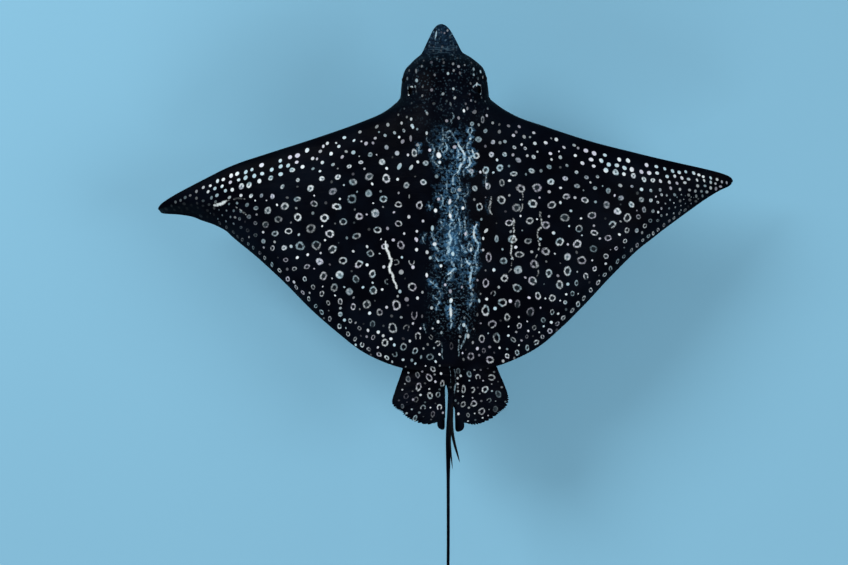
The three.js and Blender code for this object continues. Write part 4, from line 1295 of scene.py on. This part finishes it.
# The skin laid flat for baking: the back over the whole width, the belly below it at less than
# half the size, then the whip in three strips, the claspers and the dorsal fin.
def unwrapped(points, vertex, face, part, onTop, flatX, flatBack, centres):
    scale = 1 / (atlas["metres"] * 1000)
    isPelvic = isPart(part, "pelvicLeft", "pelvicRight")[face]
    flatX = flatX + np.where(isPelvic, np.sign(flatX) * atlas["finShift"], 0)
    flatBack = flatBack + np.where(isPelvic, atlas["finBack"], 0)
    left, low = atlas["backAt"]
    uv = np.stack([left + flatX * scale, low + flatBack * scale], 1)
    below = (~onTop)[face]
    left, low = atlas["bellyAt"]
    belly = [left + flatX * scale * atlas["belly"], low + flatBack * scale * atlas["belly"]]
    uv[below] = np.stack(belly, 1)[below]

    whip = (isPart(part, "body") & (centres[:, 1] > atlas["whip"]))[face]
    centre = np.stack([sway(points[:, 1]), midline(points[:, 1])], 1)
    angle = np.arctan2(points[:, 2] - centre[:, 1], points[:, 0] - centre[:, 0])[vertex]
    faces = len(part)
    mean = np.arctan2(faceMean(np.sin(angle), face, faces), faceMean(np.cos(angle), face, faces))[face]
    angle = mean + (angle - mean + math.pi) % (2 * math.pi) - math.pi
    strip = np.clip((centres[:, 1] - atlas["whip"]) // atlas["whipStrip"], 0, 2)[face]
    left, low = atlas["whipAt"]
    along = left + (points[vertex, 1] - atlas["whip"] - strip * atlas["whipStrip"]) * scale
    around = low + strip * atlas["stripGap"] + angle / (2 * math.pi) * atlas["stripHeight"]
    uv[whip] = np.stack([along, around], 1)[whip]

    local = points[vertex]
    for name, left in atlas["claspersAt"].items():
        mine = isPart(part, name)[face]
        side = np.where(onTop[face], 0, 0.04)
        back = atlas["finsAt"] + (local[:, 1] - clasper["start"]) * scale
        uv[mine] = np.stack([left + (np.abs(local[:, 0]) - 8) * scale + side, back], 1)[mine]
    mine = isPart(part, "dorsalFin")[face]
    side = np.where(faceMean(local[:, 0] - sway(local[:, 1]), face, faces)[face] > 0, 0, 0.07)
    long = atlas["dorsalAt"] + (local[:, 1] - dorsal["start"]) * scale + side
    uv[mine] = np.stack([long, atlas["finsAt"] + local[:, 2] * scale], 1)[mine]
    return uv


# Materials: a socket wrapper whose operators add Math nodes.

class Wire:
    def __init__(self, finish, socket):
        self.finish = finish
        self.socket = socket

    def maths(self, operation, *values):
        sockets = dict(enumerate(values))
        return self.finish.node("Math", {"operation": operation}, sockets)

    def __add__(self, other):
        return self.maths("ADD", self, other)

    def __sub__(self, other):
        return self.maths("SUBTRACT", self, other)

    def __rsub__(self, other):
        return self.maths("SUBTRACT", other, self)

    def __mul__(self, other):
        return self.maths("MULTIPLY", self, other)

    def __truediv__(self, other):
        return self.maths("DIVIDE", self, other)

    def __pow__(self, other):
        return self.maths("POWER", self, other)

    def __abs__(self):
        return self.maths("ABSOLUTE", self)


class Finish:
    def __init__(self, name):
        self.material = bpy.data.materials.new(name)
        self.material.use_nodes = True
        self.tree = self.material.node_tree
        self.shader = self.tree.nodes["Principled BSDF"]

    def fill(self, node, sockets):
        for key, value in sockets.items():
            if isinstance(value, Wire):
                self.tree.links.new(value.socket, node.inputs[key])
            elif isinstance(value, (tuple, list)) and node.inputs[key].type == "RGBA":
                node.inputs[key].default_value = (*value, 1)
            else:
                node.inputs[key].default_value = value

    def node(self, kind, settings=None, sockets=None, output=0):
        made = self.tree.nodes.new("ShaderNode" + kind)
        for key, value in (settings or {}).items():
            setattr(made, key, value)
        self.fill(made, sockets or {})
        return Wire(self, made.outputs[output])

    def surface(self, **sockets):
        self.fill(self.shader, {name.replace("_", " "): value for name, value in sockets.items()})

    def place(self):
        return self.node("TexCoord", output="Object")

    def attribute(self, name):
        return self.node("Attribute", {"attribute_name": name}, output="Vector")

    def parts(self, vector):
        split = self.node("SeparateXYZ", sockets={0: vector}).socket.node
        return [Wire(self, socket) for socket in split.outputs]

    def joined(self, x, y, z=0.0):
        return self.node("CombineXYZ", sockets={0: x, 1: y, 2: z})

    def scaled(self, vector, x, y, z):
        return self.node("Mapping", sockets={"Vector": vector, "Scale": (x, y, z)})

    def noise(self, vector, scale, detail=3.0, roughness=0.55, distortion=0.0):
        sockets = {"Vector": vector, "Scale": scale, "Detail": detail, "Roughness": roughness,
                   "Distortion": distortion}
        return self.node("TexNoise", sockets=sockets)

    def cells(self, vector, scale):
        return self.node("TexVoronoi", None, {"Vector": vector, "Scale": scale}, "Distance")

    def smooth(self, value, low, high, start=0.0, end=1.0):
        sockets = {"Value": value, "From Min": low, "From Max": high, "To Min": start, "To Max": end}
        return self.node("MapRange", {"interpolation_type": "SMOOTHSTEP"}, sockets)

    def most(self, one, other):
        return self.node("Math", {"operation": "MAXIMUM"}, {0: one, 1: other})

    def mix(self, factor, one, other):
        made = self.tree.nodes.new("ShaderNodeMix")
        made.data_type = "RGBA"
        self.fill(made, {0: factor, 6: one, 7: other})
        return Wire(self, made.outputs[2])

    def bump(self, height, distance, strength):
        return self.node("Bump", sockets={"Height": height, "Distance": distance, "Strength": strength})

    def vector(self, operation, one, other, output="Value"):
        return self.node("VectorMath", {"operation": operation}, {0: one, 1: other}, output)


# The spotted skin.

skinLook = {
    "deep": (0.0003, 0.0006, 0.0021), "cloud": (0.0014, 0.0029, 0.0066), "rostrum": (0.0065, 0.0205, 0.042),
    "spot": (0.78, 0.85, 0.87), "spotCool": (0.45, 0.62, 0.69), "spotLilac": (0.60, 0.60, 0.70),
    "fill": (0.100, 0.150, 0.175), "causticHaze": (0.036, 0.112, 0.210), "paleMiddle": (0.46, 0.68, 0.80),
    "paleBright": (0.72, 0.78, 0.78), "faint": (0.16, 0.31, 0.42), "belly": (0.70, 0.70, 0.67),
    "bellyShade": (0.30, 0.30, 0.30), "bellyRim": (0.055, 0.06, 0.065), "openingShade": (0.002, 0.002, 0.003),
    "roughness": 0.46, "specular": 0.016, "bandShift": 0.012, "coreShift": 0.014,
}


def skinFinish():
    look = skinLook
    made = Finish("spottedSkin")
    place = made.place()
    flat = made.attribute("flat")
    sideways, back, under = made.parts(flat)
    flat = made.joined(sideways, back, -1.0)

    def mottled(scale, detail, *limits):
        return made.smooth(made.noise(flat, scale, detail), *limits)

    def wobble(scale, detail, amount):
        return (made.noise(flat, scale, detail) - 0.5) * amount

    front, hind, openingShade = made.parts(made.attribute("edge"))
    fine = made.noise(place, 900, 2)
    grainy = made.noise(place, 230, 3)
    clouds = made.noise(place, 9, 4)

    # rings and solid spots
    u, v, bright = made.parts(made.attribute("ringAt"))
    hole, gap, fill = made.parts(made.attribute("ringLook"))
    uneven = wobble(80, 1, 0.5)
    radius = (u * u + v * v) ** 0.5 + uneven
    outer = made.smooth(radius, 1.12, 0.80)
    inner = made.smooth(radius - hole, -0.16, 0.16)
    closed = made.smooth(u / made.most(radius, 0.05) - gap, 0.42, 0.12)
    beads = mottled(170, 2, 0.36, 0.58, 0.42, 1.0)
    ring = outer * inner * closed * bright * beads
    solid = made.smooth(hole, -0.5, -1.0)
    ring = made.most(ring, outer * bright * solid)
    filled = outer * fill * mottled(120, 2, 0.3, 0.6, 0.4, 1.0)
    du, dv, dotBright = made.parts(made.attribute("dotAt"))
    dotRadius = (du * du + dv * dv) ** 0.5 + uneven
    dot = made.smooth(dotRadius, 1.15, 0.62) * dotBright

    # pale lines: partly pale marks and partly painted caustic light down the middle of the back, old grazes,
    # and painted highlights
    aside, beyond, light = made.parts(made.attribute("streakAt"))
    beyond = made.most(beyond, 0.0)
    reach = (aside * aside + beyond * beyond) ** 0.5
    patchy = mottled(150, 1, 0.42, 0.58, 0.16, 1.0)
    patchy = made.most(patchy, made.smooth(light, 0.60, 0.80))
    patchy = made.most(patchy, made.smooth(back, 0.22, 0.20))
    streak = made.smooth(reach + wobble(190, 1, 1.5), 1.6, 0.35) * light * patchy

    # painted caustic light: a bluish bloom round the pale lines down the middle of the back, with glints
    centred = sideways + look["bandShift"]
    ragged = abs(centred) + wobble(34, 4, 0.09)
    along = made.smooth(back + wobble(45, 2, 0.08), 0.25, 0.33) * made.smooth(back, 0.72, 0.62)
    band = made.smooth(ragged, 0.056, 0.014) * along * mottled(26, 1, 0.34, 0.56)
    blotch = mottled(112, 1.5, 0.43, 0.60)
    nearMiddle = made.smooth(abs(centred), 0.11, 0.07) * made.smooth(back, 0.255, 0.29)
    nearMiddle = nearMiddle * made.smooth(back, 0.82, 0.74)
    halo = made.smooth(reach, 7.5, 1.0) * made.smooth(light, 0.15, 0.75) * nearMiddle
    core = made.smooth(abs(sideways + look["coreShift"]) + wobble(50, 2, 0.03), 0.030, 0.004)
    core = core * made.smooth(back, 0.50, 0.56) * made.smooth(back, 0.632, 0.608)
    causticBloom = made.most(made.most(band * 0.55, halo) * blotch, core * made.smooth(blotch, 0, 1, 0.35, 1.0))
    speck = mottled(165, 1, 0.54, 0.66)
    # painted caustic glints, in the bluish bloom
    glint = speck * made.most(made.most(band * 0.6, halo * 0.9), core)
    onSnout = made.smooth(back, 0.105, 0.025)
    lines = made.smooth(made.noise(made.joined(sideways * 0.12, back), 330, 1), 0.52, 0.64)
    lines = lines * made.smooth(abs(back - 0.066), 0.016, 0.006) * made.smooth(abs(sideways), 0.045, 0.025)
    patches = mottled(48, 2, 0.34, 0.60)
    roundels = made.smooth(made.cells(flat, 150), 0.46, 0.14) * patches
    frecklesAndGlints = roundels * made.smooth(abs(sideways), 0.17, 0.04) * made.smooth(back, 0.32, 0.14) * 0.14
    # painted caustic glints: specks down the middle of the back, joined to the freckles
    frecklesAndGlints = made.most(frecklesAndGlints, speck * made.smooth(abs(centred), 0.08, 0.03)
                        * made.smooth(back, 0.60, 0.66) * made.smooth(back, 0.84, 0.74) * 0.22)
    frecklesAndGlints = made.most(frecklesAndGlints, made.most(roundels * onSnout * 0.36, lines * 0.16))

    base = made.mix(made.smooth(clouds, 0.35, 0.75), look["deep"], look["cloud"])
    # the snout's top in a mottled blue-grey, partly its own tone and partly painted light
    snout = onSnout * mottled(105, 2, 0.34, 0.62, 0.25, 1.0)
    base = made.mix(snout, base, look["rostrum"])
    # painted caustic light, laid over the base colour
    base = made.mix(causticBloom, base, look["causticHaze"])
    # freckles, and painted caustic glints, in the faint blue-grey
    base = made.mix(made.most(glint * 0.8, frecklesAndGlints), base, look["faint"])
    base = made.mix(filled, base, look["fill"])
    tint = made.noise(flat, 17, 1)
    white = made.mix(made.smooth(tint, 0.36, 0.50), look["spotLilac"], look["spot"])
    white = made.mix(made.smooth(tint, 0.50, 0.64), white, look["spotCool"])
    # the colour of the pale lines, near the middle and where bright; partly marks, partly painted caustic
    # light and highlights
    isPaleBright = made.most(made.smooth(light, 0.72, 0.92), made.smooth(abs(centred), 0.085, 0.11))
    streakWhite = made.mix(isPaleBright, look["paleMiddle"], look["paleBright"])
    base = made.mix(streak, base, streakWhite)
    upper = made.mix(made.smooth(made.most(ring, dot), 0.02, 0.98), base, white)

    # the white underside, dusky towards its rim
    dusk = made.smooth(made.noise(place, 16, 5, 0.6), 0.42, 0.68)
    rim = made.smooth(front.maths("MINIMUM", front, hind) + (clouds - 0.5) * 0.04, 0.052, 0.004)
    lower = made.mix(dusk * 0.35, look["belly"], look["bellyShade"])
    lower = made.mix(rim * 0.85, lower, look["bellyRim"])
    isUnder = made.smooth(under + wobble(40, 3, 0.5), 0.10, 0.42)
    colour = made.mix(isUnder, upper, lower)
    # painted shade: the skin inside every opening made near black
    colour = made.mix(openingShade, colour, look["openingShade"])

    # pores, creases that follow the wing's rays, and soft wrinkles on the head
    rays = made.noise(made.joined(sideways * 0.18, back), 75, 3, 0.5, 0.3)
    wrinkles = made.noise(made.scaled(place, 0.5, 1, 1), 95, 3)
    onHead = made.smooth(back, 0.26, 0.16)
    relief = rays * (1 - onHead) * 0.8 + wrinkles * 0.6 + fine * 0.10 + grainy * 0.16
    normal = made.bump(relief, 0.0022, 0.55)
    roughness = made.smooth(grainy, 0.2, 0.8, look["roughness"] - 0.05, look["roughness"] + 0.07)
    made.surface(Base_Color=colour, Roughness=roughness, Specular_IOR_Level=look["specular"], Normal=normal)
    return made.material


# Eyes: a dark ball with a clear bulge, a bronze iris and a drooping pupil.

eyeLook = {
    "segments": 56, "bulge": 0.9, "iris": 8.6, "pupil": 4.2, "tilt": 4, "ahead": 6,
    "ball": (0.0016, 0.0020, 0.0032), "cloud": (0.006, 0.007, 0.010), "top": (0.0010, 0.0014, 0.0028),
    "irisDark": (0.014, 0.011, 0.008), "irisPale": (0.072, 0.054, 0.032), "hole": (0.0015, 0.0015, 0.002),
}


def eyeFinish(name, centre, gaze):
    made = Finish(name)
    offset = made.vector("SUBTRACT", made.place(), tuple(centre), "Vector")
    along = made.vector("DOT_PRODUCT", offset, tuple(gaze))
    length = made.vector("LENGTH", offset, (0, 0, 0))
    aside = (length * length - along * along) ** 0.5
    height = made.parts(offset)[2]
    spin = made.node("Math", {"operation": "ARCTAN2"}, {0: made.parts(offset)[1], 1: height})
    fibres = made.noise(made.joined(spin * 3.2, aside * 160), 5, 4)
    edge = eyeLook["iris"] * mm
    inIris = made.smooth(aside + (fibres - 0.5) * 0.0012, edge, edge * 0.88) * made.smooth(along, 0, 0.004)
    lid = made.smooth(height - aside * aside * 60, 0.0012, 0.0024) * 0.0018
    # the iris hidden towards its top: partly the dark operculum and partly painted shade from the upper lid
    inIris = inIris * made.smooth(height, 0.0034, -0.0004)
    inPupil = made.smooth(aside + lid, eyeLook["pupil"] * mm, eyeLook["pupil"] * mm * 0.86)
    iris = made.mix(made.smooth(fibres, 0.3, 0.72), eyeLook["irisDark"], eyeLook["irisPale"])
    cloudy = made.smooth(made.noise(offset, 180, 3), 0.35, 0.7)
    ball = made.mix(cloudy, eyeLook["ball"], eyeLook["cloud"])
    # painted shade: the ball darker over its top
    ball = made.mix(made.smooth(height, 0.001, 0.005), ball, eyeLook["top"])
    colour = made.mix(inPupil * inIris, made.mix(inIris, ball, iris), eyeLook["hole"])
    wet = made.smooth(height, 0.0045, 0.0005, 0.0, 0.55)
    made.surface(Base_Color=colour, Roughness=made.smooth(fibres, 0.2, 0.8, 0.42, 0.55), Coat_Weight=wet,
                 Specular_IOR_Level=0.02, Coat_Roughness=0.07, Normal=made.bump(fibres, 0.0002, 0.3))
    return made.material


def eyePiece(side):
    low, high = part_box("eye_" + side)
    centre = (Vector(low) + Vector(high)) / 2
    centre.x += (float(sway(eyeSize["back"])) - signs[side] * eyeSize["inset"]) * mm
    radius = eyeSize["radius"] * mm
    tilt = math.radians(eyeLook["tilt"])
    ahead = math.radians(eyeLook["ahead"])
    outward = signs[side] * math.cos(tilt) * math.cos(ahead)
    gaze = Vector((outward, -math.sin(ahead), math.sin(tilt))).normalized()
    build = bmesh.new()
    count = eyeLook["segments"]
    bmesh.ops.create_uvsphere(build, u_segments=count, v_segments=count // 2, radius=radius * 0.985)
    turn = Vector((0, 0, 1)).rotation_difference(gaze).to_matrix()
    for vert in build.verts:
        rise = max(vert.co.z / radius, 0)
        bulge = math.exp(-((1 - rise) / 0.10) ** 2) * eyeLook["bulge"] * mm * 0.9
        vert.co = turn @ (vert.co.normalized() * (vert.co.length + bulge - 0.25 * mm)) + centre
    for face in build.faces:
        face.smooth = True
    data = meshOf(build, "eye")
    piece = linked("eyeball" + side.title(), data)
    data.materials.append(eyeFinish("wetEye" + side.title(), centre, gaze))
    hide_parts("eye_" + side)
    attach(piece, "root")


# Geometry nodes: a small builder with the same manner as the materials.

class Tree:
    def __init__(self, name):
        self.tree = bpy.data.node_groups.new(name, "GeometryNodeTree")
        self.tree.interface.new_socket("Geometry", in_out="OUTPUT", socket_type="NodeSocketGeometry")
        self.entry = self.tree.nodes.new("NodeGroupInput")
        self.exit = self.tree.nodes.new("NodeGroupOutput")

    def input(self, name, kind, value=None):
        socket = self.tree.interface.new_socket(name, in_out="INPUT", socket_type="NodeSocket" + kind)
        if value is not None:
            socket.default_value = value
        return self.entry.outputs[name]

    def node(self, kind, settings=None, sockets=None):
        made = self.tree.nodes.new(kind)
        for key, value in (settings or {}).items():
            setattr(made, key, value)
        for key, value in (sockets or {}).items():
            if isinstance(value, bpy.types.NodeSocket):
                self.tree.links.new(value, made.inputs[key])
            else:
                made.inputs[key].default_value = value
        return made

    def geometry(self, kind, **sockets):  # a geometry node's first output
        named = {name.replace("_", " "): value for name, value in sockets.items()}
        return self.node("GeometryNode" + kind, None, named).outputs[0]

    def maths(self, operation, one, other):
        return self.node("ShaderNodeMath", {"operation": operation}, {0: one, 1: other}).outputs[0]

    def vector(self, operation, sockets):
        return self.node("ShaderNodeVectorMath", {"operation": operation}, sockets).outputs[0]

    def finish(self, socket):
        self.tree.links.new(socket, self.exit.inputs[0])
        return self.tree


def frozen(piece, tree, values):  # the modifier's result as a plain mesh
    modifier = piece.modifiers.new(tree.name, "NODES")
    modifier.node_group = tree
    for item in tree.interface.items_tree:
        if item.in_out == "INPUT" and item.name in values:
            modifier[item.identifier] = values[item.name]
    bpy.context.view_layer.update()
    graph = bpy.context.evaluated_depsgraph_get()
    data = bpy.data.meshes.new_from_object(piece.evaluated_get(graph), depsgraph=graph)
    name = piece.name
    bpy.data.objects.remove(piece)
    return linked(name, data)


# Stinging spines: a grooved, flattened blade along a line, with barbs that point to its root.

spineSizes = {
    "sting_upper": {
        "line": [[-4, 985, 17], [-4.4, 1062, 29], [-21.5, 1138, 38]],
        "width": 4.1, "depth": 1.8, "barbs": 34,
    },
    "sting_lower": {
        "line": [[-1, 1004, 17], [2.5, 1080, 28], [-2.8, 1156, 30]],
        "width": 2.6, "depth": 1.4, "barbs": 36,
    },
}
barbSize = {"sides": 5, "radius": 0.85, "length": 3.4, "inset": 0.86, "lean": 0.62}


def spineTree(material):
    tree = Tree("barbedSpine")
    path = tree.input("Geometry", "Geometry")
    width = tree.input("Width", "Float", 0.003)
    depth = tree.input("Depth", "Float", 0.0016)
    barbs = tree.input("Barbs", "Int", 30)

    def slimmed(run, least):  # full at the root, thin at the point
        left = tree.maths("SUBTRACT", 1.0, tree.maths("POWER", run, 3.4))
        return tree.maths("POWER", tree.maths("MAXIMUM", left, least), 0.62)

    line = tree.geometry("ResampleCurve", Curve=path, Count=90)
    taper = slimmed(tree.node("GeometryNodeSplineParameter").outputs["Factor"], 0.004)
    line = tree.geometry("SetCurveRadius", Curve=line, Radius=taper)
    ring = tree.geometry("CurvePrimitiveCircle", Resolution=20, Radius=1.0)
    shape = tree.node("ShaderNodeCombineXYZ", None, {0: width, 1: depth, 2: 1.0}).outputs[0]
    ring = tree.geometry("Transform", Geometry=ring, Scale=shape)
    blade = tree.geometry("CurveToMesh", Curve=line, Profile_Curve=ring, Fill_Caps=True)
    if "Scale" in blade.node.inputs:
        tree.tree.links.new(taper, blade.node.inputs["Scale"])

    points = tree.geometry("ResampleCurve", Curve=path, Count=barbs)
    points = tree.node("GeometryNodeCurveToPoints", {"mode": "EVALUATED"}, {"Curve": points})
    tangent = points.outputs["Tangent"]
    sideways = tree.vector("NORMALIZE", {0: tree.vector("CROSS_PRODUCT", {0: tangent, 1: (0, 0, 1)})})
    index = tree.node("GeometryNodeInputIndex").outputs[0]
    size = slimmed(tree.maths("DIVIDE", index, tree.maths("SUBTRACT", barbs, 1.0)), 0.02)
    barb = tree.geometry("MeshCone", Vertices=barbSize["sides"], Radius_Top=0.0,
                         Radius_Bottom=barbSize["radius"] * mm, Depth=barbSize["length"] * mm)
    joined = tree.node("GeometryNodeJoinGeometry")
    tree.tree.links.new(blade, joined.inputs[0])
    for sign in (1, -1):
        reach = tree.maths("MULTIPLY", tree.maths("MULTIPLY", size, width), barbSize["inset"] * sign)
        shift = tree.vector("SCALE", {0: sideways, "Scale": reach})
        moved = tree.geometry("SetPosition", Geometry=points.outputs[0], Offset=shift)
        lean = tree.vector("SCALE", {0: sideways, "Scale": barbSize["lean"] * sign})
        aim = tree.vector("SUBTRACT", {0: lean, 1: tangent})
        turn = tree.node("FunctionNodeAlignRotationToVector", {"axis": "Z"}, {"Vector": aim}).outputs[0]
        made = tree.geometry("InstanceOnPoints", Points=moved, Instance=barb, Rotation=turn, Scale=size)
        tree.tree.links.new(made, joined.inputs[0])
    real = tree.geometry("RealizeInstances", Geometry=joined.outputs[0])
    return tree.finish(tree.geometry("SetMaterial", Geometry=real, Material=material))


spineLook = {
    "dark": (0.0006, 0.0008, 0.0014), "stained": (0.0022, 0.0025, 0.0034),
    "groove": (0.0045, 0.0048, 0.0060), "specular": 0.03,
}


def spineFinish():
    made = Finish("spineHorn")
    place = made.place()
    grooves = made.noise(made.scaled(place, 1, 0.05, 1), 900, 2)
    stain = made.noise(place, 60, 4)
    dark = made.mix(made.smooth(stain, 0.3, 0.7), spineLook["dark"], spineLook["stained"])
    colour = made.mix(made.smooth(grooves, 0.45, 0.7), dark, spineLook["groove"])
    rough = made.smooth(stain, 0.2, 0.8, 0.36, 0.56)
    made.surface(Base_Color=colour, Specular_IOR_Level=spineLook["specular"], Roughness=rough,
                 Normal=made.bump(grooves, 0.0006, 0.7))
    return made.material


def spinePieces():
    material = spineFinish()
    tree = spineTree(material)
    for name, size in spineSizes.items():
        line = np.array(size["line"], float)
        points = place(line[:, 0], line[:, 1], line[:, 2])
        data = bpy.data.curves.new(name, "CURVE")
        data.dimensions = "3D"
        smooth = data.splines.new("BEZIER")
        smooth.bezier_points.add(len(points) - 1)
        for point, at in zip(smooth.bezier_points, points):
            point.co = at
            point.handle_left_type = point.handle_right_type = "AUTO"
        data.resolution_u = 24
        path = linked(name.replace("sting", "spine"), data)
        values = {"Width": size["width"] * mm, "Depth": size["depth"] * mm, "Barbs": size["barbs"]}
        piece = frozen(path, tree, values)
        for face in piece.data.polygons:
            face.use_smooth = len(face.vertices) == 4
        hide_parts(name)
        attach(piece, "root")


# The stand keeps its CAD bodies; only their finish is made here.

standLook = {
    "paint": (0.020, 0.022, 0.024), "dusty": (0.042, 0.044, 0.047), "fleck": (0.12, 0.12, 0.12),
    "steelDark": (0.44, 0.45, 0.46), "steelBright": (0.66, 0.67, 0.68),
}


def plateFinish():
    made = Finish("powderCoat")
    place = made.place()
    peel = made.noise(place, 520, 2)
    dust = made.noise(place, 26, 5, 0.65)
    colour = made.mix(made.smooth(dust, 0.35, 0.8), standLook["paint"], standLook["dusty"])
    flecks = made.smooth(made.cells(place, 700), 0.16, 0.05)
    colour = made.mix(flecks * 0.35, colour, standLook["fleck"])
    rough = made.smooth(dust, 0.2, 0.8, 0.42, 0.62)
    made.surface(Base_Color=colour, Roughness=rough, Metallic=0.0, Normal=made.bump(peel, 0.0005, 0.5))
    return made.material


def steelFinish():
    made = Finish("brushedSteel")
    place = made.place()
    lines = made.noise(made.scaled(place, 0.04, 0.04, 1), 2600, 2)
    smear = made.noise(place, 34, 4)
    colour = made.mix(made.smooth(lines, 0.3, 0.7), standLook["steelDark"], standLook["steelBright"])
    rough = made.smooth(smear + lines * 0.4, 0.4, 1.0, 0.24, 0.44)
    made.surface(Base_Color=colour, Roughness=rough, Metallic=1.0, Normal=made.bump(lines, 0.0002, 0.4))
    return made.material


def finishStand():
    finishes = {"stand_base": plateFinish()}
    finishes["stand_rod_front"] = finishes["stand_rod_rear"] = steelFinish()
    for name, material in finishes.items():
        for slot in cadNodes[name].material_slots:
            slot.material = material


# Floor and light.

floor = {"colour": (0.215, 0.455, 0.61), "half": 40}


def makeFloor():
    build = bmesh.new()
    bmesh.ops.create_grid(build, x_segments=1, y_segments=1, size=floor["half"])
    data = meshOf(build, "floor")
    piece = linked("floor", data)
    made = Finish("palePaper")
    made.surface(Base_Color=floor["colour"], Roughness=0.9, Specular_IOR_Level=0.1)
    data.materials.append(made.material)


studio = {"sky": (0.75, 0.80, 0.85), "strength": 0.45}
lamps = [
    {"name": "key", "at": (3.4, -2.6, 4.0), "size": 2.6, "power": 210},
    {"name": "fill", "at": (-4.2, 0.4, 4.0), "size": 3.0, "power": 100},
    {"name": "back", "at": (0.4, 5.2, 3.6), "size": 3.0, "power": 110},
]


def makeLight():
    middle = Vector((0, 0.1, flightHeight))
    for lamp in lamps:
        data = bpy.data.lights.new(lamp["name"], "AREA")
        data.shape = "DISK"
        data.size = lamp["size"]
        data.energy = lamp["power"]
        piece = linked(lamp["name"], data)
        piece.location = lamp["at"]
        piece.rotation_euler = (middle - piece.location).to_track_quat("-Z", "Y").to_euler()
    world = bpy.data.worlds.new("studio")
    bpy.context.scene.world = world
    world.use_nodes = True
    sky = world.node_tree.nodes["Background"].inputs
    sky["Color"].default_value = (*studio["sky"], 1)
    sky["Strength"].default_value = studio["strength"]
    bpy.context.scene.view_settings.view_transform = "Standard"


# Putting the model together.

fleshKinds = ("snout", "head", "trunk", "wing", "tail", "pelvic", "clasper", "dorsal")

skin = fleshPiece()
print("skin shaped:", len(skin.data.polygons), "faces")
writeSkinData(skin)
for face in skin.data.polygons:
    face.use_smooth = True
skin.data.materials.clear()
skin.data.materials.append(skinFinish())
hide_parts(*[name for name in cadNodes if name.startswith(fleshKinds)])
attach(skin, "root")
print("skin finished")

for side in signs:
    eyePiece(side)
spinePieces()
finishStand()
print("eyes, spines and stand finished")

makeFloor()
makeLight()
print("floor and light set")
